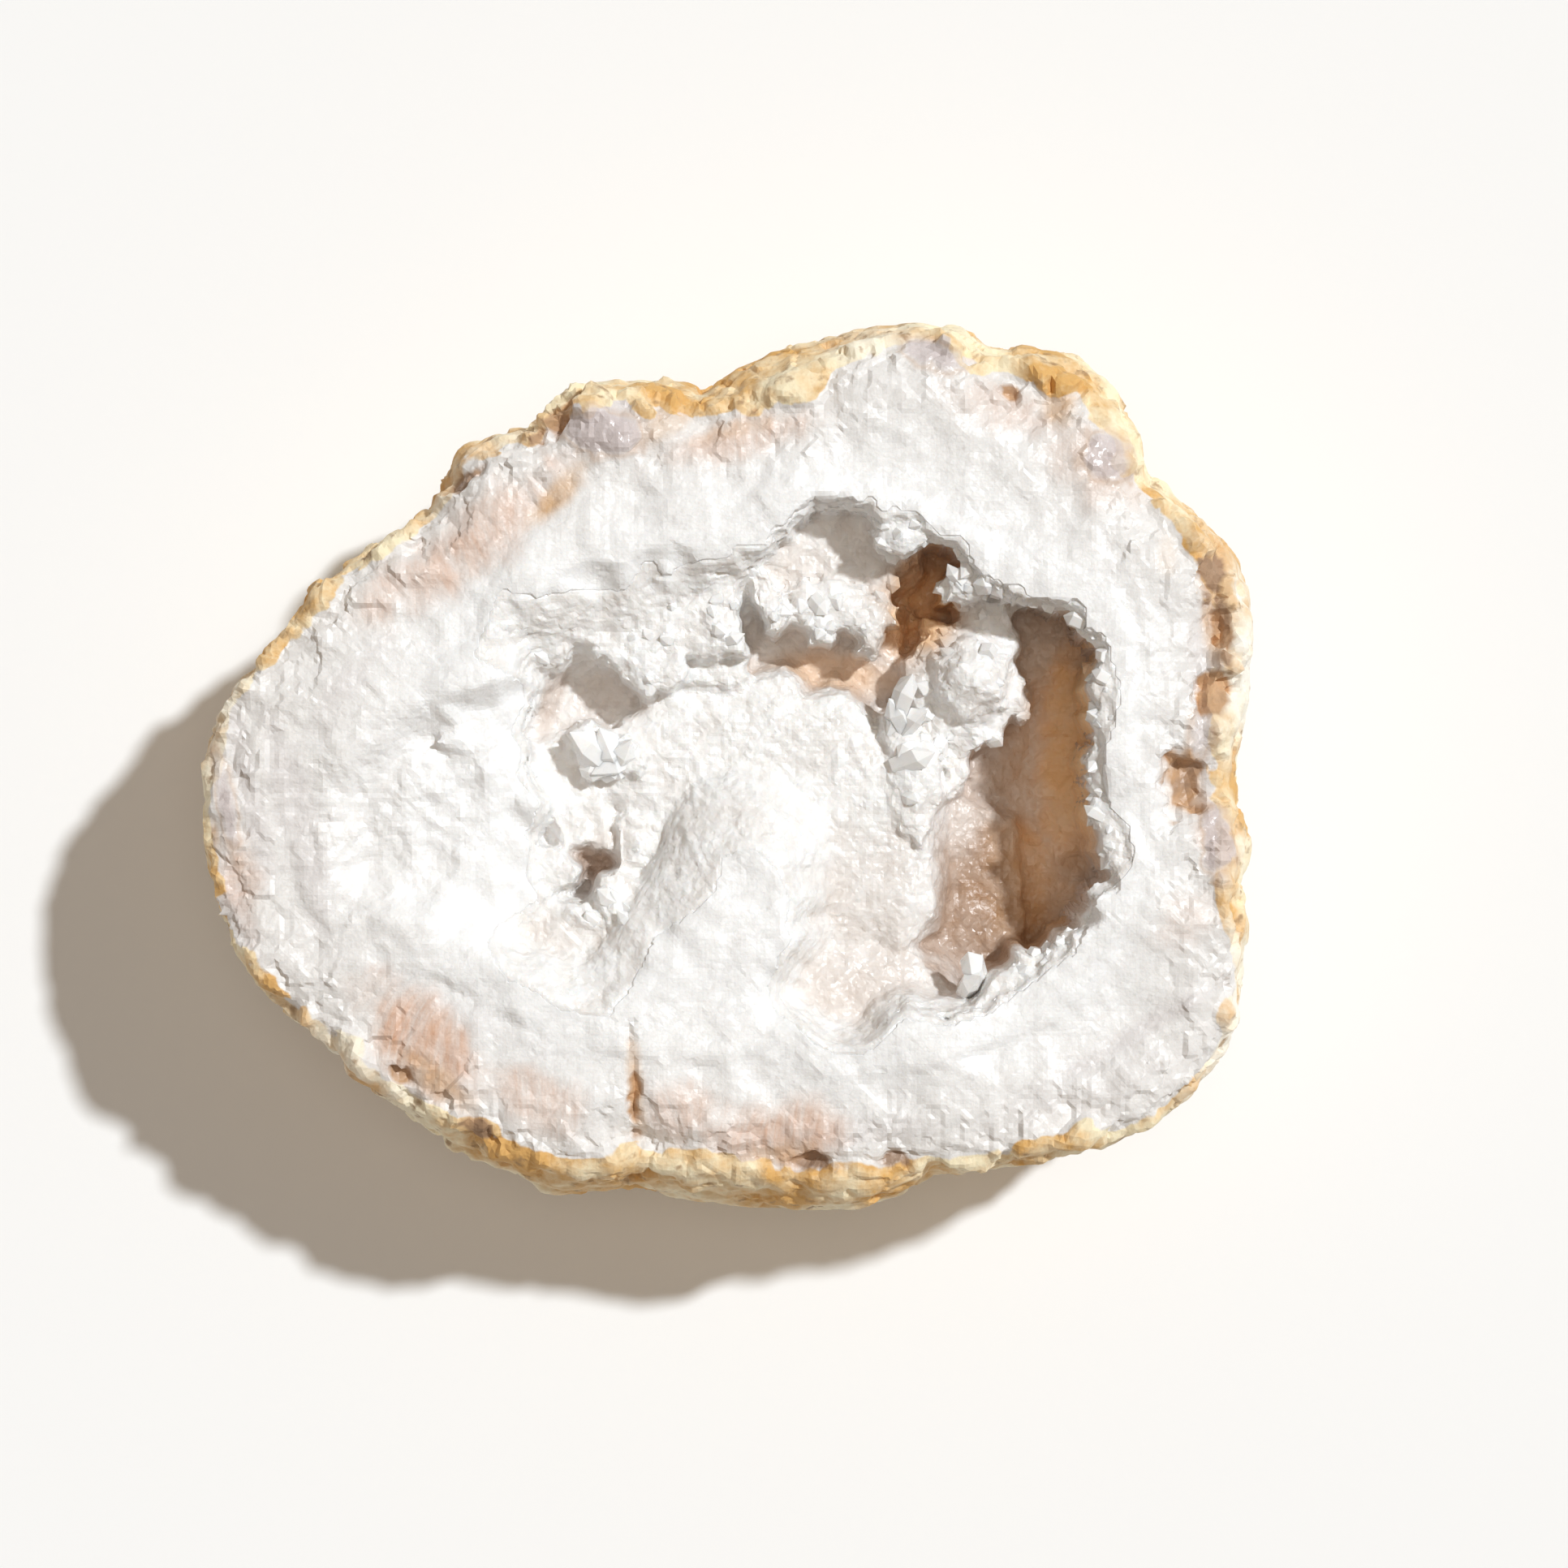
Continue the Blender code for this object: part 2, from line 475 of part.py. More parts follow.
def islands(bm):
    """The separate skins of a mesh, each as a set of faces."""
    waiting, found = set(bm.faces), []
    while waiting:
        skin, edge_of_skin = set(), [waiting.pop()]
        while edge_of_skin:
            face = edge_of_skin.pop()
            skin.add(face)
            for edge in face.edges:
                beside = waiting.intersection(edge.link_faces)
                waiting -= beside
                edge_of_skin.extend(beside)
        found.append(skin)
    return found


def keep_outer_skin(piece):
    """Apply the Booleans, fill any void closed in between crystals and drop what hangs on nothing."""
    cut_through = piece.evaluated_get(bpy.context.evaluated_depsgraph_get())
    bm = bmesh.new()
    bm.from_mesh(bpy.data.meshes.new_from_object(cut_through))
    bmesh.ops.triangulate(bm, faces=bm.faces)
    skins = sorted(islands(bm), key=len)
    bmesh.ops.delete(bm, geom=[face for skin in skins[:-1] for face in skin], context="FACES")
    piece.modifiers.clear()
    bm.to_mesh(piece.data)
    bm.free()


def stone_material(name, colour, roughness_value):
    material = bpy.data.materials.new(name)
    material.use_nodes = True
    surface = material.node_tree.nodes["Principled BSDF"]
    surface.inputs["Base Color"].default_value = (*colour, 1.0)
    surface.inputs["Roughness"].default_value = roughness_value
    surface.inputs["Metallic"].default_value = 0.0
    return material


def main():
    for old in list(bpy.data.objects):
        bpy.data.objects.remove(old)
    parts = bpy.data.collections.new("geode_half")
    tools = bpy.data.collections.new("cutters")
    for collection in (parts, tools):
        bpy.context.scene.collection.children.link(collection)

    stone = build_stone(parts)
    crust = build_druse(parts)
    hollow = build_hollow("hollow", tools)
    lining = build_hollow("lining", tools, clearance=CRUST_GAP)
    growths = build_growths(tools)
    for tool in (hollow, lining, growths):
        tool.hide_render = True
        tool.display_type = "WIRE"

    cut(stone, "DIFFERENCE", hollow)
    cut(crust, "UNION", growths, crossing=True)
    cut(crust, "INTERSECT", lining)
    thin_out(crust, CRUST_FACES_KEPT)
    keep_outer_skin(crust)
    stone.data.materials.append(stone_material("quartz_and_rind", (0.62, 0.56, 0.47), 0.75))
    crust.data.materials.append(stone_material("milky_quartz", (0.80, 0.78, 0.74), 0.35))


main()
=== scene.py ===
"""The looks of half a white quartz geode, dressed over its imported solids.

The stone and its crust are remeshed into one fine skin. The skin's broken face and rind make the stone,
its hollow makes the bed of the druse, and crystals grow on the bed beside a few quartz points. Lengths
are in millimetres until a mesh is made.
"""
import itertools
import math
import random

import bmesh
import bpy
import numpy as np
from mathutils import Matrix, Vector


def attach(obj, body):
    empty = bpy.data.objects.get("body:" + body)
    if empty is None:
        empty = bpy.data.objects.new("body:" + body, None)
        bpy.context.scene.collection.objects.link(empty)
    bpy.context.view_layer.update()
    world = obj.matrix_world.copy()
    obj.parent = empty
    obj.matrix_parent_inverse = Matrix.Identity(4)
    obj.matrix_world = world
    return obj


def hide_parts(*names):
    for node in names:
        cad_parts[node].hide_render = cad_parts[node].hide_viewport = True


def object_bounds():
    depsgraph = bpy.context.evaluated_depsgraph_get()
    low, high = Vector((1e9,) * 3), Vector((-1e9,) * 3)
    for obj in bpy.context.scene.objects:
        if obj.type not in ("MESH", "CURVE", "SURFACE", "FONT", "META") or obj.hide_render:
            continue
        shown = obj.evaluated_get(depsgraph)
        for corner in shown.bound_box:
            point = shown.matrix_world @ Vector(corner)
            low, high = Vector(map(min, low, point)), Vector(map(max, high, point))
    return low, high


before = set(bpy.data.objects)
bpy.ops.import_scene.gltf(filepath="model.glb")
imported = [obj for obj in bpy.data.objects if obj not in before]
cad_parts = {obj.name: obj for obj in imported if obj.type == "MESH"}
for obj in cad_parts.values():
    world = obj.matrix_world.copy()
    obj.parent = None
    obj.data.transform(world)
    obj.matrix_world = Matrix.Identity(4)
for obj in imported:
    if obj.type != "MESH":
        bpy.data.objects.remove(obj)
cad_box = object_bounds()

MM = 0.001
SEED = 11

# The frame of the photograph: its middle over the stone, and the width it takes in at the face
FACE_HEIGHT = 36.0
VIEW_CENTRE = (5.2, -1.7)
VIEW_WIDTH = 148.3
VIEW_DISTANCE = 420.0

# The skin
SKIN_VOXEL = 0.46
SKIN_SMOOTHING = 5
CRUST_SWELL = 0.35        # closes the thin gap between stone and crust before they are remeshed
HIDDEN_KEPT = 0.2         # share of the faces kept where the druse or the table hides them

# The bed of the druse
BED_STEP = 0.3
BED_VOXEL = 0.34
BED_THICKNESS = 2.2
BED_COVER = 0.6           # how far the stone lies below the bed that covers it
COVER_REACH = 8           # grid steps round a place whose lowest bed the stone stays under
LEDGE_ROUND = 3.5         # how far in from its edge a ledge is domed
CREVICE_DEPTH = 16.8
NEAR_FACE = 2.5           # ledges less deep than this follow the unevenness of the face
RIND_SWELL = 1.0          # the rind's lumps stand out this far from the solids
BOX_ROOM = 0.013          # of the box's size, on each side
TOOTH = 2.2               # size of the crystals that make the edges of ledges jagged

# Edge of the open air between the crystals, at the face
HOLLOW_EDGE = [
    (4.0, 20.4), (4.4, 21.8), (5.3, 22.1), (6.6, 23.6), (7.6, 23.8), (8.1, 24.7), (9.3, 24.4),
    (11.4, 24.8), (12.7, 23.8), (13.3, 24.7), (14.4, 22.9), (15.5, 23.8), (17.8, 23.3), (19.3, 21.6),
    (20.5, 20.8), (21.8, 21.3), (22.4, 19.2), (23.9, 17.5), (26.8, 16.3), (27.5, 16.4), (28.0, 15.5),
    (29.7, 15.4), (30.8, 14.7), (32.2, 15.0), (33.0, 14.9), (33.3, 12.3), (34.9, 12.1), (35.4, 10.6),
    (36.3, 7.2), (35.9, 4.5), (35.1, 2.2), (34.8, -1.2), (35.6, -4.3), (37.3, -5.8), (37.6, -8.9),
    (36.6, -10.4), (36.2, -11.4), (34.3, -11.8), (33.9, -13.5), (33.3, -14.1), (33.4, -15.2),
    (32.0, -17.5), (29.3, -19.3), (27.0, -21.0), (24.7, -22.7), (22.8, -23.3), (20.5, -23.9),
    (17.8, -23.5), (17.0, -23.0), (15.5, -23.9), (14.3, -25.4), (12.5, -26.6), (10.1, -26.6),
    (8.4, -25.8), (7.0, -24.4), (4.6, -22.7), (4.3, -20.8), (5.1, -19.3), (5.3, -18.1), (6.1, -17.3),
    (6.7, -16.0), (5.9, -15.3), (6.4, -12.7), (4.9, -9.3), (2.0, -7.0), (-1.0, -8.1), (-2.0, -11.8),
    (-4.5, -13.9), (-7.6, -15.8), (-8.7, -18.5), (-9.9, -20.8), (-11.8, -23.1), (-16.0, -22.4),
    (-17.9, -20.9), (-20.8, -19.5), (-22.3, -17.0), (-21.5, -15.6), (-18.5, -13.7), (-17.6, -12.4),
    (-18.6, -10.8), (-18.6, -9.2), (-18.4, -7.6), (-18.8, -6.6), (-18.2, -5.5), (-17.4, -3.5),
    (-19.6, -0.8), (-19.1, 1.5), (-20.2, 3.2), (-19.0, 5.6), (-18.8, 7.9), (-20.6, 9.2), (-23.4, 10.6), (-22.0, 14.0),
    (-21.4, 16.0), (-18.3, 15.3), (-15.2, 16.0), (-9.5, 16.0), (-7.6, 18.9), (-6.6, 17.8), (-5.7, 17.2),
    (-4.6, 18.3), (-2.6, 18.9), (-0.7, 19.0), (0.6, 19.2), (0.8, 20.3), (2.4, 20.1),
]

# Ledges of the druse inside the hollow: depth of its top under the face, how much it is domed, how
# steeply its sides fall away, how much it falls to the east and to the south, width of its crystals,
# and its outline as it looks from straight above
LEDGES = {
    "floor of the pocket at the top": (6.8, 0.0, 3.0, 0.0, 0.0, 1.4, [
        (3.6, 25.3), (15.1, 25.3), (16.2, 19.5), (12.4, 17.2), (3.2, 18.7),
    ]),
    "floor of the brown shaft": (17.5, 0.0, 3.0, 0.0, 0.0, 1.4, [
        (14.7, 22.2), (23.1, 22.2), (23.1, 15.3), (21.6, 11.8), (15.5, 8.0),
    ]),
    "floor of the slot behind the mound": (12.5, 0.0, 2.5, 0.0, 0.0, 1.3, [
        (1.3, 13.7), (16.2, 14.5), (16.2, 7.2), (12.9, 4.1), (0.1, 6.8),
    ]),
    "floor of the gap under the ledge": (9.5, 0.0, 2.5, 0.0, 0.0, 0.9, [
        (-20.6, 3.0), (-18.3, 8.7), (-13.4, 12.2), (-7.6, 6.8), (-9.5, 3.8), (-15.2, 2.2), (-18.7, 1.1),
    ]),
    "floor of the small pit": (12.5, 0.0, 3.0, 0.0, 0.0, 1.2, [
        (-15.6, -7.0), (-9.9, -7.0), (-10.2, -9.3), (-13.3, -13.1), (-15.4, -10.4),
    ]),
    "floor of the pocket on the left": (7.0, 0.0, 2.0, 0.0, 0.0, 0.9, [
        (-18.9, 1.5), (-15.4, 2.5), (-13.3, -0.1), (-12.0, -2.4), (-11.6, -5.2), (-11.2, -7.8),
        (-13.9, -7.1), (-15.2, -7.8), (-16.3, -5.8), (-17.5, -3.1), (-19.2, -0.5),
    ]),
    "slope of the crevice": (14.5, 0.0, 2.5, 0.12, 0.0, 1.2, [
        (16.8, -17.5), (19.3, -5.8), (22.0, -3.1), (27.0, -5.1), (27.9, -10.4), (27.9, -15.8),
        (25.4, -20.0), (19.3, -20.8),
    ]),
    "lip by the small pit": (0.5, 0.3, 25.0, 0.0, 0.0, 1.3, [
        (-18.8, -7.0), (-15.8, -7.9), (-14.4, -9.4), (-14.6, -11.2), (-17.0, -12.6), (-20.0, -11.6),
        (-20.0, -9.0),
    ]),
    "bed at the bottom": (6.6, 0.8, 2.5, 0.1, -0.12, 1.1, [
        (4.6, -19.6), (6.6, -15.8), (12.4, -16.3), (17.0, -17.5), (19.3, -19.3), (21.8, -22.1),
        (20.5, -24.1), (17.0, -23.2), (14.3, -25.5), (12.5, -26.6), (10.1, -26.6), (8.2, -25.9),
        (6.1, -23.6), (4.6, -22.7),
    ]),
    "ledge at the top left": (1.8, 0.5, 25.0, 0.0, -0.1, 1.7, [
        (-22.9, 11.1), (-19.8, 14.9), (-15.2, 15.8), (-9.1, 15.8), (-7.6, 18.9), (-3.0, 19.0),
        (0.9, 19.5), (1.0, 17.2), (1.2, 15.3), (1.4, 13.5), (1.3, 12.4), (2.2, 10.3), (-0.3, 10.1),
        (-1.4, 9.8), (-4.3, 10.7), (-3.3, 8.1), (-6.0, 7.0), (-7.9, 6.3), (-9.5, 7.2), (-11.2, 8.9),
        (-12.1, 10.1), (-12.5, 10.1), (-13.4, 11.6), (-14.9, 11.6), (-15.2, 9.9), (-16.6, 9.0),
        (-19.8, 9.3), (-21.5, 8.4),
    ]),
    "lumps in the pocket at the top": (6.8, 0.8, 14.0, 0.0, 0.0, 1.9, [
        (3.8, 20.0), (4.6, 21.6), (6.6, 22.4), (8.4, 22.2), (8.8, 23.3), (9.8, 23.6), (10.6, 22.6),
        (11.8, 22.7), (13.2, 22.0), (14.2, 20.0), (17.3, 19.4), (17.2, 18.6), (16.1, 17.7), (15.4, 16.6),
        (15.2, 14.9), (12.4, 16.0), (7.8, 16.8), (5.3, 16.8), (4.3, 17.8), (2.0, 18.3), (1.0, 19.2),
    ]),
    "long block": (2.6, 0.5, 30.0, 0.0, 0.0, 2.2, [
        (2.0, 18.6), (3.8, 18.9), (4.7, 17.5), (5.5, 15.5), (5.9, 14.1), (4.9, 12.7), (3.6, 12.6),
        (2.9, 13.7), (2.3, 15.3), (2.1, 17.0),
    ]),
    "block behind the slot": (4.6, 1.1, 25.0, 0.0, 0.0, 2.0, [
        (5.6, 17.0), (7.0, 17.5), (8.6, 17.8), (10.9, 18.1), (12.5, 17.3), (14.3, 16.0), (15.5, 14.5),
        (15.8, 13.2), (14.9, 12.6), (14.4, 11.4), (14.3, 10.7), (13.2, 10.4), (12.2, 10.6), (12.0, 11.8),
        (10.9, 12.4), (10.5, 12.7), (9.5, 11.4), (8.6, 11.1), (7.4, 11.4), (6.9, 12.4), (6.3, 13.5),
        (6.1, 14.5), (5.8, 15.7),
    ]),
    "lobe over the shaft": (0.6, 0.6, 30.0, 0.0, 0.0, 1.5, [
        (13.5, 22.2), (13.9, 20.3), (15.2, 19.8), (16.4, 19.6), (18.2, 19.9), (18.8, 21.2), (19.3, 22.2),
        (17.8, 24.1), (14.7, 24.1),
    ]),
    "corner over the shaft": (1.4, 0.4, 30.0, 0.0, 0.0, 2.2, [
        (22.4, 19.5), (20.7, 18.1), (20.2, 15.7), (22.4, 15.2), (24.3, 15.8), (25.1, 17.6), (23.1, 19.5),
    ]),
    "mound": (6.2, 1.0, 3.5, 0.0, 0.04, 0.9, [
        (-10.0, 4.0), (-7.6, 6.0), (-3.3, 7.6), (-1.4, 8.0), (0.5, 7.4), (2.0, 7.6), (3.0, 8.4),
        (5.1, 8.6), (6.6, 7.8), (6.9, 6.6), (8.2, 6.6), (9.5, 7.0), (11.2, 6.6), (12.9, 5.2),
        (14.3, 3.0), (17.8, 3.0), (19.3, 1.1), (19.3, -4.3), (19.0, -7.0), (19.7, -9.7), (19.3, -14.3),
        (18.4, -15.6), (16.4, -18.0), (13.8, -16.2), (10.6, -17.6), (7.8, -15.8), (5.9, -12.7), (4.0, -8.9),
        (1.7, -6.6), (-2.0, -8.9), (-4.5, -12.7), (-7.6, -12.0), (-10.2, -9.5), (-10.9, -7.8),
        (-11.2, -5.4), (-9.5, -4.3), (-11.6, -3.1), (-12.0, -1.2), (-10.6, 1.1),
    ]),
    "steps behind the mound": (5.0, 0.6, 12.0, 0.0, 0.0, 1.6, [
        (-6.5, 7.8), (-4.0, 9.5), (-0.5, 10.8), (1.8, 10.6), (1.9, 8.4), (0.0, 7.2), (-3.0, 7.0),
    ]),
    "ridge of the mound": (4.8, 0.9, 14.0, 0.0, 0.0, 1.7, [
        (13.3, 4.9), (14.3, 2.2), (15.2, 0.7), (15.3, -3.1), (16.2, -6.6), (18.2, -7.8), (19.3, -5.1),
        (20.2, -3.9), (20.5, -1.2), (20.5, 1.5), (18.5, 3.0), (17.8, 4.3), (15.8, 5.7),
    ]),
    "knob beside the ridge": (8.4, 0.6, 20.0, 0.0, 0.0, 2.0, [
        (20.5, 1.7), (21.6, 1.8), (23.0, 0.3), (22.8, -1.0), (22.0, -2.5), (20.3, -3.7), (19.8, -2.8),
        (20.1, -0.5),
    ]),
    "foot of the ball": (7.4, 0.8, 22.0, 0.0, 0.0, 2.0, [
        (15.9, 9.9), (17.0, 11.1), (18.5, 12.2), (18.5, 13.7), (20.1, 14.1), (21.8, 14.1), (22.4, 15.3),
        (24.3, 16.0), (26.7, 16.0), (26.6, 13.7), (27.9, 12.7), (27.7, 11.4), (27.1, 10.1), (28.4, 7.8),
        (28.7, 6.1), (27.9, 3.9), (26.6, 4.5), (26.1, 2.3), (24.8, 2.5), (24.2, 1.1), (22.8, 1.1),
        (20.8, 1.8), (18.5, 3.0), (17.4, 4.9), (16.8, 7.2),
    ]),
    "ball": (3.6, 2.4, 6.0, 0.0, 0.0, 1.6, [
        (19.3, 10.1), (21.0, 11.7), (23.1, 12.2), (25.3, 11.1), (26.4, 9.9), (27.1, 8.1), (26.6, 6.3),
        (24.8, 4.9), (22.4, 4.5), (20.1, 5.7), (19.3, 7.6),
    ]),
    "teeth of the right wall": (0.1, 0.4, 40.0, 0.0, 0.0, 1.2, [
        (35.3, 11.4), (35.4, 10.6), (34.8, 9.4), (33.7, 7.2), (35.0, 5.5), (34.2, 4.9), (35.0, 2.1),
        (34.0, 2.0), (33.7, 0.3), (34.3, -0.8), (33.7, -2.0), (34.3, -2.8), (33.9, -5.1), (34.8, -7.0),
        (34.7, -8.1), (35.6, -9.7), (36.8, -10.4), (38.1, -8.9), (38.1, -4.3), (36.2, -1.2), (35.8, 3.4),
        (37.3, 6.4), (36.6, 11.1),
    ]),
    "teeth at the bottom right": (0.8, 0.5, 20.0, 0.0, 0.0, 1.4, [
        (27.2, -17.6), (30.0, -17.6), (30.8, -16.6), (32.4, -15.8), (33.6, -15.0), (32.4, -17.7),
        (29.3, -19.6), (27.0, -21.3), (24.7, -22.9), (23.5, -23.1), (23.1, -22.0), (25.1, -19.6),
        (26.1, -19.3), (27.1, -18.6),
    ]),
    "left block of the mound": (4.2, 0.6, 25.0, 0.0, 0.0, 2.4, [
        (-15.6, 3.0), (-14.3, 4.0), (-12.9, 4.3), (-11.4, 3.6), (-9.2, 2.5), (-7.6, 1.1), (-8.3, -1.2),
        (-10.6, -1.2), (-11.8, -0.6), (-12.5, -1.4), (-13.1, -1.2), (-13.5, 0.0), (-14.7, 0.7),
        (-15.2, 1.8),
    ]),
    "corner block of the mound": (5.6, 0.5, 20.0, 0.0, 0.0, 1.7, [
        (-11.2, -5.4), (-9.5, -4.5), (-7.6, -5.1), (-5.3, -6.6), (-7.6, -8.9), (-10.2, -9.5),
        (-10.9, -7.8),
    ]),
    "bed at the lower left": (4.6, 0.5, 12.0, 0.0, 0.1, 1.2, [
        (-22.0, -17.3), (-19.1, -13.5), (-15.2, -12.7), (-13.5, -12.6), (-12.3, -10.3), (-10.6, -9.7),
        (-7.6, -11.6), (-2.2, -12.0), (-4.5, -13.9), (-7.6, -15.8), (-8.7, -18.5), (-9.9, -20.8),
        (-11.8, -23.1), (-16.0, -22.4), (-17.9, -20.9), (-20.8, -19.5),
    ]),
    "lump at the lower left": (3.6, 0.6, 12.0, 0.0, 0.0, 2.0, [
        (-15.2, -13.4), (-13.7, -12.6), (-12.3, -13.4), (-12.0, -14.9), (-13.3, -15.8), (-14.9, -15.5),
    ]),
    "clear block at the lower left": (3.2, 0.4, 14.0, 0.0, 0.0, 2.4, [
        (-13.1, -12.4), (-12.0, -11.1), (-9.9, -12.4), (-7.7, -14.1), (-7.9, -15.4), (-10.2, -16.0),
        (-11.8, -15.0),
    ]),
}

# How steeply the hollow's wall falls from the face: x, y, fall in mm for each mm
WALLS = [
    (-22.5, 11.0, 0.4), (-21.6, 7.0, 6.0), (-20.4, 2.4, 12.0), (-19.6, -0.8, 5.0), (-18.0, -5.0, 5.0),
    (-17.0, -7.6, 10.0), (-14.8, -10.0, 14.0), (-16.5, -12.8, 2.0), (-21.5, -15.4, 1.2),
    (-18.0, 15.5, 0.5), (-10.0, 16.0, 0.6), (-4.0, 18.0, 1.0), (0.0, 19.0, 2.0), (5.0, 22.0, 12.0),
    (10.0, 24.6, 25.0), (15.0, 23.0, 25.0), (21.0, 20.0, 30.0), (27.0, 16.3, 30.0), (33.0, 14.0, 30.0),
    (36.0, 6.0, 30.0), (35.0, -2.0, 30.0), (37.0, -9.0, 30.0), (34.0, -13.0, 20.0), (31.0, -18.0, 8.0),
    (26.0, -21.6, 6.0), (20.0, -24.0, 4.0), (14.0, -25.5, 3.0), (9.0, -26.3, 3.0), (5.0, -22.0, 3.0),
    (6.0, -16.0, 2.5), (6.0, -12.0, 1.6), (4.0, -8.5, 0.8), (0.0, -7.5, 0.5), (-3.0, -12.0, 0.45),
    (-7.0, -15.8, 0.5), (-10.0, -21.0, 0.6), (-15.0, -22.5, 0.8), (-20.0, -20.0, 0.8),
]

# Edge of the broken white face, where the rind begins
FACE_EDGE = [
    (45.8, -0.5), (44.9, 6.0), (46.2, 13.5), (44.0, 19.6), (40.3, 24.0), (37.6, 27.4), (35.5, 31.0),
    (32.4, 35.0), (27.4, 36.2), (23.2, 37.6), (19.8, 40.6), (11.4, 38.2), (6.8, 34.2), (1.4, 33.4),
    (-3.2, 33.6), (-14.8, 33.6), (-19.2, 29.8), (-25.0, 29.0), (-27.6, 23.0), (-34.6, 19.2), (-41.2, 12.2),
    (-46.8, 5.9), (-48.5, -0.5), (-49.4, -6.0), (-48.0, -12.2), (-44.8, -19.4), (-38.2, -23.8),
    (-32.0, -29.6), (-26.6, -33.0), (-20.4, -35.4), (-14.8, -37.2), (-9.6, -35.6), (0.8, -37.0),
    (7.0, -38.0), (11.0, -38.2), (18.8, -36.6), (25.0, -36.2), (35.2, -34.2), (41.8, -31.6),
    (45.2, -27.4), (47.6, -22.4), (47.4, -14.2), (45.6, -11.0), (46.6, -8.0),
]

# Middle line of the hollow, which the fibres of the wall point away from
FIBRE_LINE = ((-22.0, -4.0), (22.0, -2.0))

# Stains on the face: x, y, half length, half width, turn in degrees, strength
SALMON_STAINS = [
    (-29.0, -26.0, 7.6, 4.0, -38.0, 1.0),
    (-24.4, 21.0, 10.8, 3.2, 40.0, 0.75),
    (-32.6, 16.0, 4.2, 2.4, 50.0, 0.6),
    (-18.2, -31.4, 5.2, 2.6, -18.0, 0.6),
    (-5.0, -32.6, 3.0, 3.4, 60.0, 0.6),
    (4.6, -35.2, 7.2, 3.2, 8.0, 0.85),
    (0.6, 31.0, 7.4, 2.2, 14.0, 0.6),
    (34.6, 28.6, 5.0, 3.6, -30.0, 0.4),
    (25.2, 34.0, 5.2, 2.4, -18.0, 0.45),
    (46.8, -7.4, 2.4, 4.0, 20.0, 0.6),
    (-46.4, -11.4, 2.2, 4.6, 14.0, 0.55),
    (43.0, -14.6, 3.4, 2.6, 40.0, 0.3),
    (37.0, 29.4, 3.0, 2.2, 0.0, 0.5),
]
OCHRE_STAINS = [
    (-16.4, 25.4, 3.8, 1.3, 48.0, 0.9),
    (31.4, 34.6, 1.7, 2.1, 0.0, 0.8),
    (22.4, 40.2, 2.4, 1.4, -20.0, 0.5),
    (-8.8, -30.4, 0.9, 5.2, 4.0, 0.7),
    (-6.2, 32.4, 3.4, 1.6, 30.0, 0.5),
    (0.4, 31.8, 4.6, 1.0, 14.0, 0.4),
    (-27.4, -30.0, 4.4, 1.5, -38.0, 0.6),
    (46.0, 13.6, 1.1, 5.8, 6.0, 0.75),
    (43.2, -1.6, 1.7, 2.9, 10.0, 0.7),
    (3.4, -37.2, 4.0, 1.2, 10.0, 0.5),
    (41.4, 19.8, 1.0, 2.0, 0.0, 0.3),
    (-49.0, -6.4, 0.8, 1.6, 0.0, 0.8),
]
LILAC_STAINS = [
    (-11.8, 32.4, 4.8, 3.0, -10.0, 1.0),
    (21.6, 40.0, 4.0, 2.0, -20.0, 0.7),
    (-41.0, -4.4, 2.0, 11.5, 14.0, 0.45),
    (-45.2, -3.0, 1.2, 10.0, 12.0, 0.5),
    (-36.0, 8.0, 1.4, 6.0, -40.0, 0.35),
    (39.0, -25.0, 12.0, 1.0, 30.0, 0.5),
    (33.4, -30.6, 10.0, 2.4, 20.0, 0.25),
    (45.0, 11.0, 1.6, 6.0, 0.0, 0.5),
    (43.8, -1.0, 3.0, 3.4, 0.0, 0.5),
    (-47.0, -13.0, 1.6, 5.0, 20.0, 0.5),
    (12.0, -34.6, 8.0, 1.4, 6.0, 0.3),
    (-26.0, -22.8, 9.0, 1.2, -26.0, 0.2),
]

# Brown pits along the rim: x, y, half length, half width, turn, depth
RIM_PITS = [
    (45.8, 18.5, 1.2, 1.7, 0.0, 1.6), (46.8, 12.7, 1.2, 2.8, 6.0, 1.5), (45.8, 7.4, 1.5, 2.2, -10.0, 1.7),
    (43.0, -1.8, 1.7, 3.3, 12.0, 1.6), (-15.8, 33.6, 2.4, 0.9, 40.0, 1.4), (-18.0, 31.6, 1.6, 0.7, 60.0, 1.2),
    (-24.8, 27.4, 2.6, 0.7, 30.0, 1.0), (-9.0, -31.0, 0.5, 4.6, 4.0, 0.9), (-31.4, -29.2, 1.4, 0.8, -40.0, 1.0),
    (-23.8, -34.6, 1.6, 0.8, -20.0, 1.0), (7.6, -37.6, 2.2, 0.8, 6.0, 1.2), (15.4, -37.2, 1.6, 0.7, -6.0, 1.0),
    (26.4, 35.6, 1.4, 0.7, -30.0, 1.0), (2.4, 33.6, 1.6, 0.7, 20.0, 0.8),
]

# The shallow basin of small crystals on the left: x, y, half length, half width, turn, strength
BASIN = [(-30.5, -4.5, 12.0, 9.0, 20.0, 1.0)]

# Where the rind is chalky and paler: x, y, half length, half width, turn, strength
CHALKY_RIND = [
    (47.6, 12.0, 3.6, 12.0, 6.0, 1.0), (46.0, -8.0, 4.0, 5.0, 0.0, 0.7), (-47.0, 2.0, 4.0, 12.0, 14.0, 0.7),
    (46.0, -24.0, 5.0, 12.0, 0.0, 0.9), (14.0, 40.0, 5.0, 3.0, 0.0, 0.5), (-24.0, 28.0, 7.0, 3.0, 36.0, 0.6),
    (-36.0, -27.0, 8.0, 3.0, -40.0, 0.6),
]

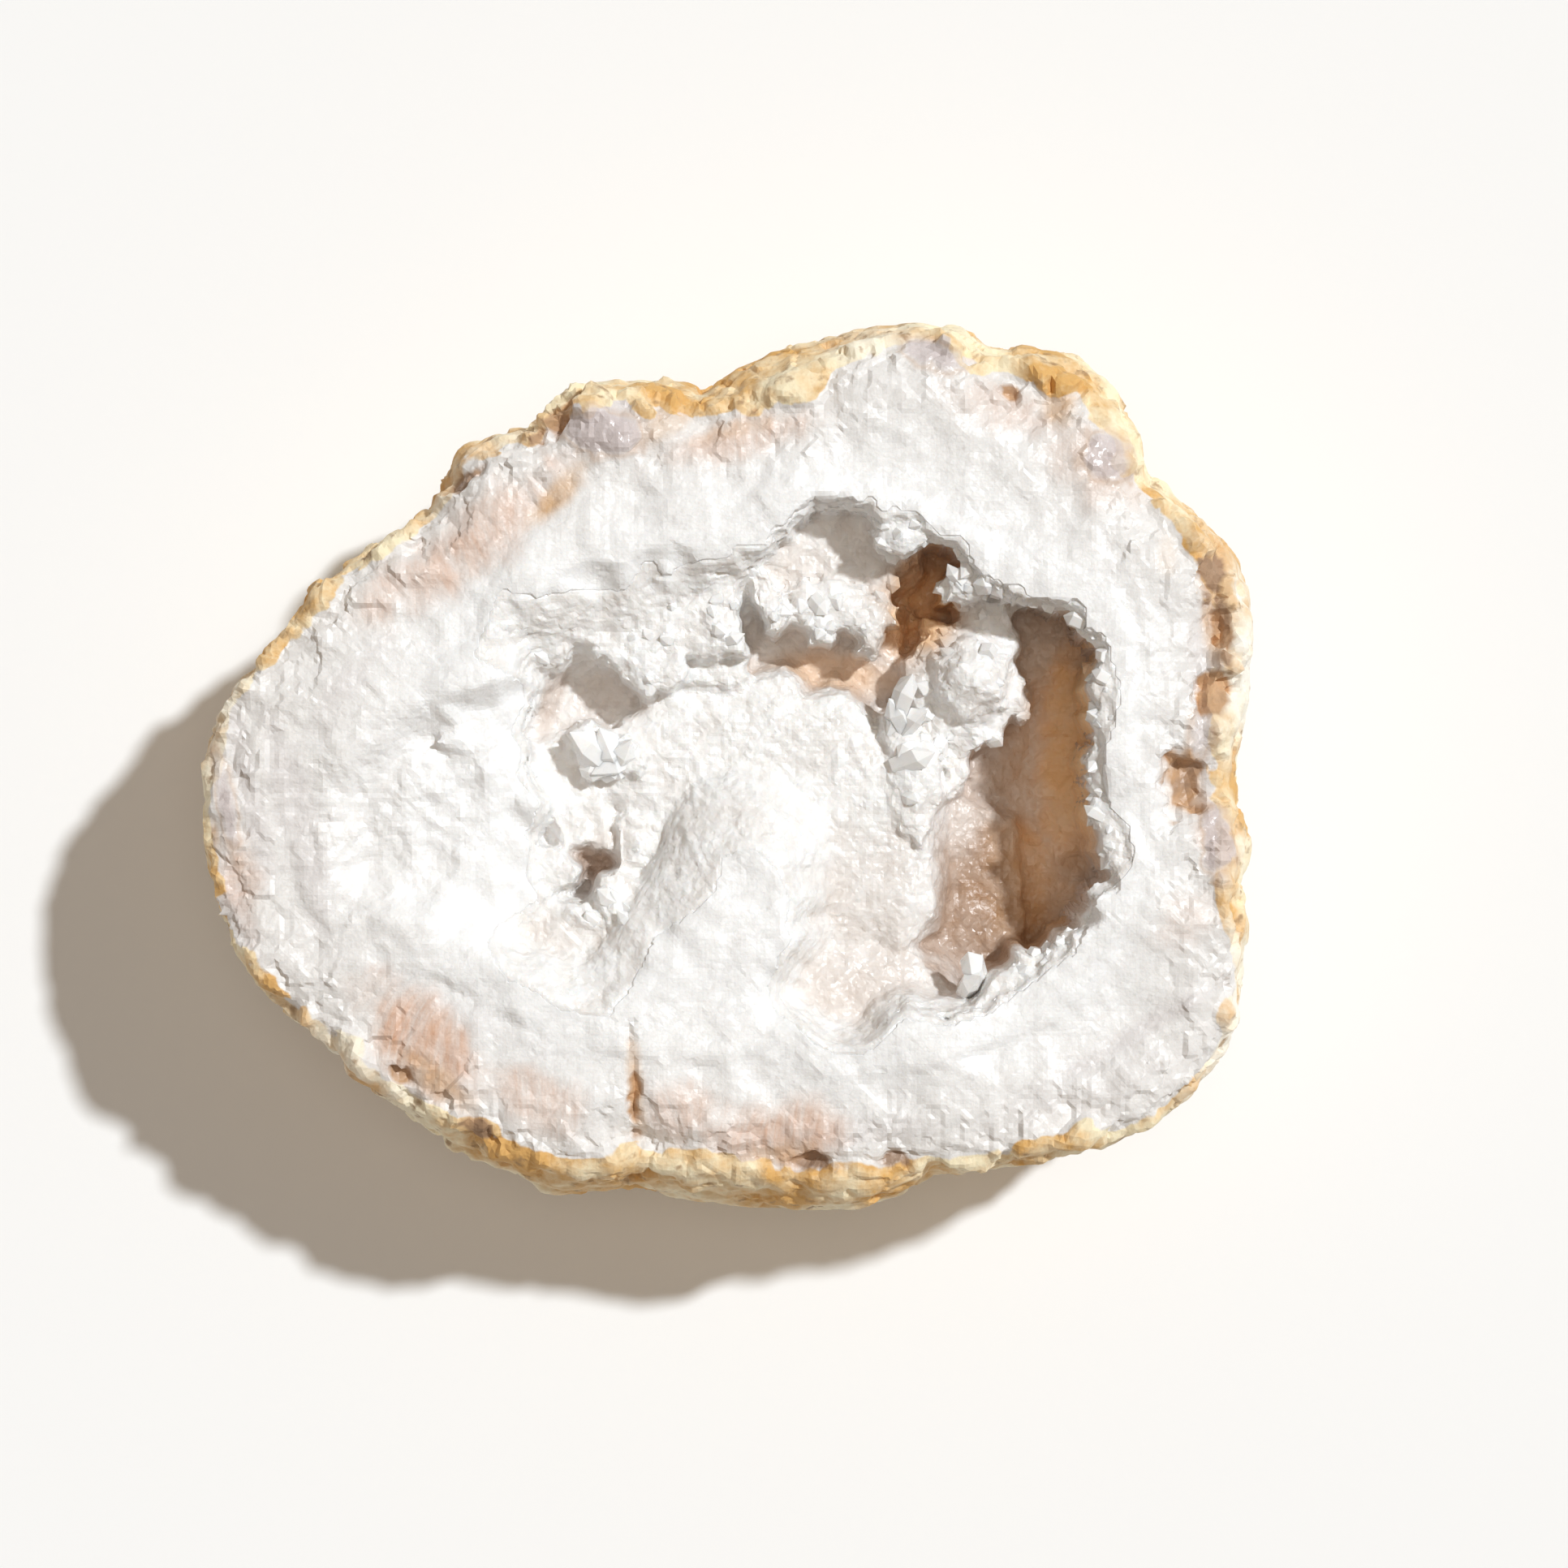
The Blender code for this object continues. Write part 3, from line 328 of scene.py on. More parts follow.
# Smooth grey and pinkish agate that shows through the rim: x, y, half length, half width, turn, strength
AGATE_KNOBS = [
    (46.2, -7.2, 1.8, 3.4, 8.0, 0.9), (35.6, 29.4, 2.6, 3.0, 20.0, 0.8), (-12.0, 31.6, 4.2, 2.2, -10.0, 1.0),
    (-47.6, -3.6, 1.0, 6.0, 12.0, 0.6), (44.6, 3.0, 1.6, 2.6, 0.0, 0.5), (19.0, 39.2, 3.4, 1.6, -20.0, 0.7),
]

# Brown in the hollow, partly iron stain and partly painted shade on the walls and floors that lie in shade: x, y,
# half length, half width, turn, strength, and the depth from which it starts
BROWN_STAIN_AND_SHADE_POCKETS = [
    ((33.4, 1.0, 18.0, 5.0, 86.0, 1.0), 2.0),
    ((27.0, -13.0, 11.0, 9.0, 62.0, 1.0), 6.5),
    ((20.0, -14.0, 9.0, 3.6, 75.0, 0.85), 9.0),
    ((18.6, 16.0, 7.6, 4.8, 65.0, 1.0), 4.0),
    ((9.4, 8.6, 9.4, 3.4, -6.0, 0.75), 7.5),
    ((-13.0, -8.6, 3.4, 2.8, 60.0, 0.85), 6.0),
    ((18.4, -20.6, 4.6, 2.6, 20.0, 0.8), 7.0),
    ((13.0, -21.0, 9.0, 5.0, 0.0, 0.36), 3.5),
    ((13.0, -12.0, 7.0, 7.0, 30.0, 0.20), 3.0),
    ((9.0, 20.4, 7.6, 5.0, 0.0, 0.22), 4.5),
    ((-17.2, 6.6, 1.4, 5.0, -14.0, 0.5), 5.0),
    ((-12.0, 6.2, 6.6, 3.6, 20.0, 0.28), 5.0),
    ((-11.6, -16.6, 1.8, 2.4, 0.0, 0.45), 3.0),
    ((-17.0, -16.0, 4.0, 3.0, 0.0, 0.20), 2.5),
]

# Painted light: where the brown is painted lighter, in the shaded parts of the crevice, to stand in for light that
# glows through and bounces round the hollow: x, y, half length, half width, turn, strength
PAINTED_GLOW_PLACES = [
    (32.5, 1.0, 18.0, 6.0, 84.0, 1.0),
    (18.6, 16.0, 8.0, 5.2, 65.0, 0.9),
    (9.4, 9.4, 10.0, 2.6, -6.0, 0.7),
]

# Quartz points that stand out of the druse: tip x, y and depth, the way it points, its rise, width, length
POINTS = [
    (-15.4, 3.2, 3.4, 140.0, 24.0, 3.2, 6.4),
    (-12.4, 3.6, 3.4, 112.0, 34.0, 3.0, 5.4),
    (-13.2, -0.6, 3.9, 205.0, 30.0, 2.6, 5.0),
    (-9.4, 2.8, 3.5, 60.0, 40.0, 3.0, 4.6),
    (17.4, 9.0, 3.0, 72.0, 30.0, 2.5, 6.8),
    (15.2, 6.6, 3.8, 118.0, 36.0, 2.4, 5.4),
    (18.6, 5.6, 3.6, 50.0, 40.0, 2.2, 4.8),
    (19.6, 1.4, 3.9, 20.0, 30.0, 2.4, 4.6),
    (22.6, -17.8, 2.6, 112.0, 50.0, 2.6, 5.4),
    (23.6, -19.8, 2.4, 60.0, 62.0, 2.4, 4.4),
    (25.6, -19.6, 3.0, 80.0, 48.0, 1.8, 4.0),
    (28.2, -18.2, 2.8, 110.0, 48.0, 2.0, 4.0),
    (4.4, 14.0, 2.3, 280.0, 58.0, 2.4, 4.0),
    (-11.4, -12.0, 2.8, 80.0, 56.0, 2.4, 4.0),
    (-9.2, -13.6, 3.0, 20.0, 62.0, 2.6, 4.0),
    (-13.8, -14.2, 3.2, 130.0, 70.0, 2.2, 3.6),
]


def smooth_step(low, high, value):
    """0 below the low end, 1 above the high end and an even curve between them, which may run down."""
    share = np.clip((value - low) / (high - low), 0.0, 1.0)
    return share * share * (3.0 - 2.0 * share)


def cell_dice(cells, seed):
    """An even random number from -1 to 1 for each cell of a grid."""
    table = np.random.default_rng(SEED).uniform(-1.0, 1.0, 65536)
    index = cells @ np.array((73856093, 19349663, 83492791)) + seed * 7919
    return table[index % len(table)]


def cloud(places, size, seed=0):
    """Soft noise from -1 to 1 whose lumps are of the given size."""
    grid = places / size
    low = np.floor(grid).astype(np.int64)
    share = grid - low
    share = share * share * (3.0 - 2.0 * share)
    total = np.zeros(len(places))
    for corner in itertools.product((0, 1), repeat=3):
        weight = np.where(corner, share, 1.0 - share).prod(axis=1)
        total += weight * cell_dice(low + corner, seed)
    return total


def chips(places, size, seed=0):
    """Flat chips, each tilted its own way: height in units of the size, and nearness to a chip's edge."""
    grid = places / size
    low = np.floor(grid).astype(np.int64)
    nearest = np.full(len(places), np.inf)
    second = nearest.copy()
    height = np.zeros(len(places))
    for corner in itertools.product((-1, 0, 1), repeat=3):
        cell = low + corner
        middle = cell + 0.5 + 0.45 * np.stack([cell_dice(cell, seed + axis) for axis in (1, 2, 3)], axis=1)
        tilt = np.stack([cell_dice(cell, seed + axis) for axis in (4, 5, 6)], axis=1)
        away = grid - middle
        distance = np.linalg.norm(away, axis=1)
        closer = distance < nearest
        second = np.where(closer, nearest, np.minimum(second, distance))
        height = np.where(closer, (away * tilt).sum(axis=1), height)
        nearest = np.minimum(nearest, distance)
    return height, second - nearest


def crystal_tops(places, size, seed=0):
    """Crystals with flat sides packed side by side: how far a place stands out, in units of their size."""
    grid = places / size
    low = np.floor(grid).astype(np.int64)
    height = np.full(len(places), -0.6)
    for corner in itertools.product((-1, 0, 1), repeat=3):
        cell = low + corner
        middle = cell + 0.5 + 0.4 * np.stack([cell_dice(cell, seed + axis) for axis in (1, 2, 3)], axis=1)
        away = grid - middle
        reach = np.zeros(len(places))
        for side in (4, 7, 10):
            way = np.stack([cell_dice(cell, seed + side + axis) for axis in (0, 1, 2)], axis=1)
            way /= np.maximum(np.linalg.norm(way, axis=1), 0.1)[:, None]
            reach = np.maximum(reach, np.abs((away * way).sum(axis=1)))
        height = np.maximum(height, 0.25 * cell_dice(cell, seed + 13) - reach)
    return height + 0.15


def depth_inside(outline, x, y):
    """Distance from each place to a closed outline, minus that distance outside it."""
    nearest = np.full(len(x), np.inf)
    inside = np.zeros(len(x), bool)
    for (ax, ay), (bx, by) in zip(outline, outline[1:] + outline[:1]):
        ex, ey = bx - ax, by - ay
        along = np.clip(((x - ax) * ex + (y - ay) * ey) / (ex * ex + ey * ey), 0.0, 1.0)
        nearest = np.minimum(nearest, np.hypot(ax + along * ex - x, ay + along * ey - y))
        if ey:
            inside ^= ((ay > y) != (by > y)) & (x < ax + (y - ay) / ey * ex)
    return np.where(inside, nearest, -nearest)


def ledge_height(x, y, jag, depth, dome, side, east, south, outline):
    """Height of one ledge of the druse: domed inside its outline, and falling away outside it."""
    widen = 1.0 + depth / VIEW_DISTANCE
    centre_x, centre_y = VIEW_CENTRE
    outline = [(centre_x + widen * (px - centre_x), centre_y + widen * (py - centre_y)) for px, py in outline]
    middle_x, middle_y = np.mean(outline, axis=0)
    inside = depth_inside(outline, x, y) + jag
    height = FACE_HEIGHT - depth - east * (x - middle_x) - south * (middle_y - y)
    height = height - dome * (1.0 - np.clip(inside / LEDGE_ROUND, 0.0, 1.0)) ** 2
    return height + side * np.minimum(inside, 0.0)


def rim_places(skin):
    """Places on the broken face just round the hollow, whose heights the walls of the hollow start from."""
    places = mesh_places(skin)
    x, y, z = places.T
    inside = depth_inside(HOLLOW_EDGE, x, y)
    rim = places[(inside > -0.9) & (inside < 0.0) & (z > FACE_HEIGHT - 4.0)]
    return rim[::max(1, len(rim) // 1100)]


def rim_height(rim, x, y):
    """Height of the face at the nearest part of the rim."""
    total = np.zeros(len(x))
    share = np.zeros(len(x))
    for rim_x, rim_y, rim_z in rim:
        near = 1.0 / ((x - rim_x) ** 2 + (y - rim_y) ** 2 + 0.4) ** 2
        total += near * rim_z
        share += near
    return total / share


def wall_steepness(x, y):
    """How steeply the hollow's wall falls near each place."""
    total = np.zeros(len(x))
    share = np.zeros(len(x))
    for wall_x, wall_y, steep in WALLS:
        near = 1.0 / ((x - wall_x) ** 2 + (y - wall_y) ** 2 + 1.0) ** 2
        total += near * math.log(steep)
        share += near
    return np.exp(total / share)


def bed_form(x, y, rim):
    """Height of the druse's bed and width of its crystals, from the highest of its ledges at each place."""
    places = np.stack([x, y, np.zeros(len(x))], axis=1)
    level = rim_height(rim, x, y)
    jag = 0.65 * TOOTH * crystal_tops(places, TOOTH, 200) + 0.45 * TOOTH * crystal_tops(places, 0.5 * TOOTH, 220)
    height = FACE_HEIGHT - CREVICE_DEPTH + 1.3 * cloud(places, 5.0, 210)
    width = np.full(len(x), 1.5)
    for depth, dome, side, east, south, crystals, outline in LEDGES.values():
        jagged = jag * (0.3 + 0.7 * smooth_step(0.7, 2.0, np.float64(crystals)))
        top = ledge_height(x, y, jagged, depth, dome, side, east, south, outline)
        if depth < NEAR_FACE:
            top += level - FACE_HEIGHT
        width = np.where(top > height, crystals, width)
        height = np.maximum(height, top)
    inside = depth_inside(HOLLOW_EDGE, x, y)
    steep = wall_steepness(x, y)
    teeth = (np.maximum(jag + 0.5, 0.0) - 0.4) * smooth_step(1.5, 6.0, steep)
    wall = level - steep * np.maximum(inside - teeth, 0.0)
    width = np.where(wall > height, 0.8, width)
    height = np.maximum(height, wall)
    height = np.where(inside < 0.0, np.minimum(height, level - 0.7 * smooth_step(-0.7, -1.3, inside)), height)
    return height, width


def fibre_places(x, y):
    """Coordinates that stay the same along a fibre, and run out along it."""
    (ax, ay), (bx, by) = FIBRE_LINE
    ex, ey = bx - ax, by - ay
    along = np.clip(((x - ax) * ex + (y - ay) * ey) / (ex * ex + ey * ey), 0.0, 1.0)
    dx, dy = x - (ax + along * ex), y - (ay + along * ey)
    reach = np.maximum(np.hypot(dx, dy), 1.0)
    turn = 20.0
    flat = np.stack([x, y, np.zeros(len(x))], axis=1)
    along += 0.03 * cloud(flat, 6.0, 62)
    return np.stack([along * math.hypot(ex, ey) + turn * dx / reach, turn * dy / reach, 0.12 * reach], axis=1)


def wall_share(x, y):
    """How far out a place of the face lies: 0 at the hollow's edge and 1 at the rind."""
    inner = np.maximum(-depth_inside(HOLLOW_EDGE, x, y), 0.0)
    outer = np.maximum(depth_inside(FACE_EDGE, x, y), 0.0)
    return inner / np.maximum(inner + outer, 0.01)


def patches(x, y, wander, places):
    """Soft-edged patches, where the wander frays their edges."""
    total = np.zeros(len(x))
    for centre_x, centre_y, half_length, half_width, turn, strength in places:
        cosine, sine = math.cos(math.radians(turn)), math.sin(math.radians(turn))
        dx, dy = x - centre_x, y - centre_y
        share = np.hypot((dx * cosine + dy * sine) / half_length, (dy * cosine - dx * sine) / half_width)
        total = np.maximum(total, strength * smooth_step(1.35, 0.35, share + 0.4 * wander))
    return total


def mesh_places(mesh):
    """The places of a mesh's points, in millimetres."""
    flat = np.empty(3 * len(mesh.vertices))
    mesh.vertices.foreach_get("co", flat)
    return flat.reshape(-1, 3) / MM


def move_points(mesh, places):
    mesh.vertices.foreach_set("co", (places * MM).ravel())
    mesh.update()


def point_normals(mesh):
    flat = np.empty(3 * len(mesh.vertices))
    mesh.vertex_normals.foreach_get("vector", flat)
    return flat.reshape(-1, 3)


def put_value(mesh, name, values):
    """Keep one number for each point of the mesh."""
    old = mesh.attributes.get(name)
    if old:
        mesh.attributes.remove(old)
    mesh.attributes.new(name, "FLOAT", "POINT").data.foreach_set("value", values.astype(np.float32))


def new_piece(name, mesh):
    piece = bpy.data.objects.new(name, mesh)
    bpy.context.scene.collection.objects.link(piece)
    return piece


def finished_mesh(piece):
    """The mesh that a piece's modifiers make, once they are applied."""
    bpy.context.view_layer.update()
    return bpy.data.meshes.new_from_object(piece.evaluated_get(bpy.context.evaluated_depsgraph_get()))


def bare_skin():
    """One fine skin round the stone and its crust."""
    bm = bmesh.new()
    for node, swell in (("geode_shell", 0.0), ("crystal_crust", CRUST_SWELL)):
        part = bmesh.new()
        part.from_mesh(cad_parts[node].data)
        bmesh.ops.remove_doubles(part, verts=part.verts, dist=0.001 * MM)
        part.normal_update()
        for vertex in part.verts:
            vertex.co += vertex.normal * swell * MM
        swollen = bpy.data.meshes.new(node)
        part.to_mesh(swollen)
        part.free()
        bm.from_mesh(swollen)
        bpy.data.meshes.remove(swollen)
    joined = bpy.data.meshes.new("skin")
    bm.to_mesh(joined)
    bm.free()
    skin = new_piece("skin", joined)
    remesh = skin.modifiers.new("one skin", "REMESH")
    remesh.mode = "VOXEL"
    remesh.voxel_size = SKIN_VOXEL * MM
    soften = skin.modifiers.new("soften", "SMOOTH")
    soften.factor = 0.5
    soften.iterations = SKIN_SMOOTHING
    mesh = finished_mesh(skin)
    bpy.data.objects.remove(skin)
    return largest_shell(mesh)


def largest_shell(mesh):
    """Drop any bubble that is closed in inside the skin."""
    bm = bmesh.new()
    bm.from_mesh(mesh)
    waiting = set(bm.verts)
    shells = []
    while waiting:
        shell, edge_of_shell = [], [waiting.pop()]
        while edge_of_shell:
            vertex = edge_of_shell.pop()
            shell.append(vertex)
            for edge in vertex.link_edges:
                other = edge.other_vert(vertex)
                if other in waiting:
                    waiting.remove(other)
                    edge_of_shell.append(other)
        shells.append(shell)
    for shell in sorted(shells, key=len)[:-1]:
        bmesh.ops.delete(bm, geom=shell, context="VERTS")
    bm.to_mesh(mesh)
    bm.free()
    return mesh


def zones(mesh):
    """How much of each point of the skin is rind, and how far inside the hollow it is."""
    places, normals = mesh_places(mesh), point_normals(mesh)
    x, y, z = places.T
    wander = cloud(places, 2.6, 1) + 0.5 * cloud(places, 1.1, 2)
    inside_face = depth_inside(FACE_EDGE, x, y) + 1.2 * wander
    below = FACE_HEIGHT - z
    on_face = smooth_step(-0.8, 0.6, inside_face) * smooth_step(6.5, 3.0, below + 1.2 * wander)
    on_face *= smooth_step(-0.1, 0.35, normals[:, 2] + 0.15 * wander)
    on_face = np.maximum(on_face, smooth_step(5.0, 8.0, inside_face) * (normals[:, 2] > -0.3) * (z > 8.5))
    in_hollow = depth_inside(HOLLOW_EDGE, x, y)
    in_hollow = np.where(z > 8.5, in_hollow, -10.0)
    rind = np.where(in_hollow > -1.5, 0.0, 1.0 - on_face)
    return rind, in_hollow


def carve(mesh):
    """The relief that is finer than the solids: chips and fibres of the face, crystals, lumps of rind."""
    places, normals = mesh_places(mesh), point_normals(mesh)
    x, y, z = places.T
    rind, in_hollow = zones(mesh)
    druse = smooth_step(-0.8, 0.8, in_hollow)
    face = (1.0 - rind) * (1.0 - druse)
    rim = smooth_step(7.0, 1.0, depth_inside(FACE_EDGE, x, y))
    broad_chips, _ = chips(places, 3.6, 20)
    small_chips, _ = chips(places, 1.7, 40)
    fibres = cloud(fibre_places(x, y), 0.9, 60) * smooth_step(0.2, 0.7, wall_share(x, y))
    basin = patches(x, y, 0.5 * cloud(places, 3.0, 16), BASIN)
    knobs, knob_seams = chips(places, 3.4, 100)
    relief = face * (0.30 * cloud(places, 5.0, 8) + 0.12 * cloud(places, 1.5, 9) + 0.08 * fibres
                     + basin * (0.5 * crystal_tops(places, 2.4, 17) + 0.4 * crystal_tops(places, 1.3, 18))
                     + (0.07 + 0.38 * rim) * broad_chips + (0.06 + 0.20 * rim) * small_chips)
    relief += rind * (RIND_SWELL * smooth_step(5.0, 14.0, z) + 0.5 * cloud(places, 6.0, 3) + 0.45 * knobs
                      + 0.40 * cloud(places, 2.2, 4) + 0.22 * cloud(places, 1.1, 5)
                      + 0.6 * np.minimum(knob_seams, 0.3))
    pits = smooth_step(0.55, 0.8, cloud(places, 1.9, 7)) * rind
    relief -= 0.8 * pits
    ragged = 0.7 * cloud(places, 1.6, 14) + 0.5 * cloud(places, 0.8, 15)
    relief -= patches(x, y, 2.2 * ragged, RIM_PITS) * smooth_step(20.0, 26.0, z)
    relief += 0.6 * patches(x, y, 0.9 * ragged, AGATE_KNOBS) * smooth_step(20.0, 26.0, z)
    move_points(mesh, places + normals * relief[:, None])


def keep_in_box(mesh):
    """What is carved stays within a little of the solids' own size."""
    low, high = (np.array(corner) / MM for corner in cad_box)
    room = BOX_ROOM * (high - low)
    places = mesh_places(mesh)
    over = np.maximum(places - high, 0.0)
    under = np.maximum(low - places, 0.0)
    places += room * (1.0 - np.exp(-over / room)) - over
    places -= room * (1.0 - np.exp(-under / room)) - under
    places[:, 2] = np.maximum(places[:, 2], low[2])
    move_points(mesh, places)


def paint(mesh):
    """Where the stains, the bands, the brown and the rind are, as numbers on the points. The brown is partly iron
    stain and partly painted shade, and the lighter glow in the shaded crevice is painted light.
    """
    places = mesh_places(mesh)
    x, y, z = places.T
    wander = 0.6 * cloud(places, 3.2, 11) + 0.4 * cloud(places, 1.2, 12)
    flat = places * (1.0, 1.0, 0.3)
    put_value(mesh, "wall", wall_share(x, y))
    fraying = wander + 0.5 * cloud(fibre_places(x, y), 1.3, 61)
    put_value(mesh, "salmon", patches(x, y, fraying, SALMON_STAINS))
    put_value(mesh, "ochre", patches(x, y, fraying, OCHRE_STAINS))
    put_value(mesh, "lilac", patches(x, y, wander + 0.3 * cloud(flat, 0.9, 13), LILAC_STAINS))
    ragged = 0.7 * cloud(places, 1.6, 14) + 0.5 * cloud(places, 0.8, 15)
    pits = patches(x, y, 2.2 * ragged, RIM_PITS) / 1.2
    put_value(mesh, "pit", np.clip(pits, 0.0, 1.0) * smooth_step(20.0, 26.0, z))
    put_value(mesh, "chalky", patches(x, y, wander, CHALKY_RIND))
    put_value(mesh, "agate", patches(x, y, 0.9 * ragged, AGATE_KNOBS))
    depth = FACE_HEIGHT - z
    # Browner the deeper under the face: partly iron stain, partly painted shade of the deep hollow
    brown = 0.6 * smooth_step(9.0, 17.0, depth)
    for pocket, start in BROWN_STAIN_AND_SHADE_POCKETS:
        brown = np.maximum(brown, patches(x, y, 0.5 * wander, [pocket]) * smooth_step(start, start + 3.5, depth))
    put_value(mesh, "brown", brown)
    # Painted light: a lighter brown where the crevice lies in shade
    put_value(mesh, "painted_glow", brown * patches(x, y, 0.3 * wander, PAINTED_GLOW_PLACES))
    mesh.attributes.new("fibre", "FLOAT_VECTOR", "POINT").data.foreach_set(
        "vector", fibre_places(x, y).astype(np.float32).ravel())


def add(tree, kind, inputs=None, **settings):
    """Add a node, with its settings and with its inputs by name or number, linked or set."""
    node = tree.nodes.new(kind)
    for name, value in settings.items():
        setattr(node, name, value)
    for key, value in (inputs or {}).items():
        if isinstance(key, int):
            socket = node.inputs[key]
        else:
            socket = next(each for each in node.inputs if each.name == key and each.enabled)
        if isinstance(value, bpy.types.NodeSocket):
            tree.links.new(value, socket)
        else:
            socket.default_value = value
    return node


def out(node, name):
    return next(each for each in node.outputs if each.name == name and each.enabled)


def crystal_shapes(name, count, tall):
    """A few six-sided crystals with uneven pointed ends, standing on the origin, one unit wide."""
    dice = random.Random(SEED)
    shapes = bpy.data.collections.new(name)
    for number in range(count):
        bm = bmesh.new()
        ring_low, ring_high = [], []
        height = tall * dice.uniform(0.1, 1.0)
        apex = Vector((dice.uniform(-0.12, 0.12), dice.uniform(-0.12, 0.12), height + dice.uniform(0.4, 0.62)))
        for side in range(6):
            turn = math.radians(60.0 * side)
            reach = 0.5 * dice.uniform(0.82, 1.12)
            x, y = reach * math.cos(turn), reach * math.sin(turn)
            ring_low.append(bm.verts.new((0.9 * x, 0.9 * y, -0.8)))
            ring_high.append(bm.verts.new((x, y, height - CRYSTAL_SINK + dice.uniform(-0.16, 0.16))))
        tip = bm.verts.new(apex - Vector((0.0, 0.0, CRYSTAL_SINK)))
        for side in range(6):
            after = (side + 1) % 6
            bm.faces.new((ring_low[side], ring_low[after], ring_high[after], ring_high[side]))
            bm.faces.new((ring_high[side], ring_high[after], tip))
        bm.faces.new(list(reversed(ring_low)))
        bmesh.ops.triangulate(bm, faces=bm.faces)
        mesh = bpy.data.meshes.new(f"{name}_{number}")
        bm.to_mesh(mesh)
        bm.free()
        shapes.objects.link(bpy.data.objects.new(f"{name}_{number}", mesh))
    return shapes


def growth_tree():
    """Geometry nodes that grow one of several shapes all over a surface, larger where it says so."""
    tree = bpy.data.node_groups.new("growth", "GeometryNodeTree")
    tree.is_modifier = True
    face = tree.interface
    face.new_socket("Geometry", in_out="OUTPUT", socket_type="NodeSocketGeometry")
    face.new_socket("Geometry", in_out="INPUT", socket_type="NodeSocketGeometry")
    face.new_socket("Shapes", in_out="INPUT", socket_type="NodeSocketCollection")
    for name in ("Spacing", "Thickly", "Smallest", "Largest", "Tilt", "Stretch"):
        face.new_socket(name, in_out="INPUT", socket_type="NodeSocketFloat")
    face.new_socket("Seed", in_out="INPUT", socket_type="NodeSocketInt")
    face.new_socket("Finish", in_out="INPUT", socket_type="NodeSocketMaterial")
    given = tree.nodes.new("NodeGroupInput").outputs

    def attribute(name):
        return out(add(tree, "GeometryNodeInputNamedAttribute", {"Name": name}, data_type="FLOAT"), "Attribute")

    def dice(low, high, step):
        seed = add(tree, "ShaderNodeMath", {0: given["Seed"], 1: float(step)}, operation="ADD")
        return out(add(tree, "FunctionNodeRandomValue", {"Min": low, "Max": high, "Seed": seed.outputs[0]},
                       data_type="FLOAT"), "Value")

    def maths(operation, first, second):
        return add(tree, "ShaderNodeMath", {0: first, 1: second}, operation=operation).outputs[0]

    scatter = add(tree, "GeometryNodeDistributePointsOnFaces",
                  {"Mesh": given["Geometry"], "Distance Min": given["Spacing"], "Density Max": given["Thickly"],
                   "Density Factor": attribute("thickly"), "Seed": given["Seed"]},
                  distribute_method="POISSON")
    shapes = add(tree, "GeometryNodeCollectionInfo",
                 {"Collection": given["Shapes"], "Separate Children": True, "Reset Children": True})
    width = maths("MULTIPLY", attribute("coarse"), dice(given["Smallest"], given["Largest"], 1))
    tall = maths("MULTIPLY", width, maths("ADD", 1.0, maths("MULTIPLY", given["Stretch"], dice(0.0, 1.0, 2))))
    size = add(tree, "ShaderNodeCombineXYZ", {"X": width, "Y": width, "Z": tall}).outputs[0]
    lean = add(tree, "ShaderNodeCombineXYZ",
               {"X": maths("MULTIPLY", given["Tilt"], dice(-1.0, 1.0, 3)),
                "Y": maths("MULTIPLY", given["Tilt"], dice(-1.0, 1.0, 4)),
                "Z": dice(0.0, math.tau, 5)}).outputs[0]
    grown = add(tree, "GeometryNodeInstanceOnPoints",
                {"Points": scatter.outputs["Points"], "Instance": out(shapes, "Instances"),
                 "Pick Instance": True, "Rotation": scatter.outputs["Rotation"], "Scale": size})
    leaning = add(tree, "GeometryNodeRotateInstances",
                  {"Instances": grown.outputs["Instances"], "Rotation": lean, "Local Space": True})
    real = add(tree, "GeometryNodeRealizeInstances", {"Geometry": leaning.outputs[0]})
    finish = add(tree, "GeometryNodeSetMaterial",
                 {"Geometry": real.outputs[0], "Material": given["Finish"]})
    tree.links.new(finish.outputs[0], tree.nodes.new("NodeGroupOutput").inputs[0])
    return tree


CRYSTAL_SINK = 0.25        # of their width, so that they stand in the druse and not on it
TEETH_DEPTH = 3.6          # how far under the face the teeth grow along the hollow's edge
CRYSTALS_ABOVE = 26.0      # crystals that can be told apart grow on the ledges, not on the floors of pits
GROWTH_MARKS = ("thickly", "coarse", "open", "width", "crease_shade")


def grow(name, tree, ground, shapes, finish, **sizes):
    """Grow shapes on a mesh and keep only what has grown."""
    piece = new_piece(name, ground)
    growth = piece.modifiers.new("growth", "NODES")
    growth.node_group = tree
    sockets = {item.name: item.identifier for item in tree.interface.items_tree if item.in_out == "INPUT"}
    growth[sockets["Shapes"]] = shapes
    growth[sockets["Finish"]] = finish
    for label, value in sizes.items():
        growth[sockets[label.capitalize()]] = value
    mesh = finished_mesh(piece)
    piece.modifiers.clear()
    for attribute in [each.name for each in mesh.attributes if each.name in GROWTH_MARKS]:
        mesh.attributes.remove(mesh.attributes[attribute])
    mesh.name = name
    piece.data = mesh
    return piece


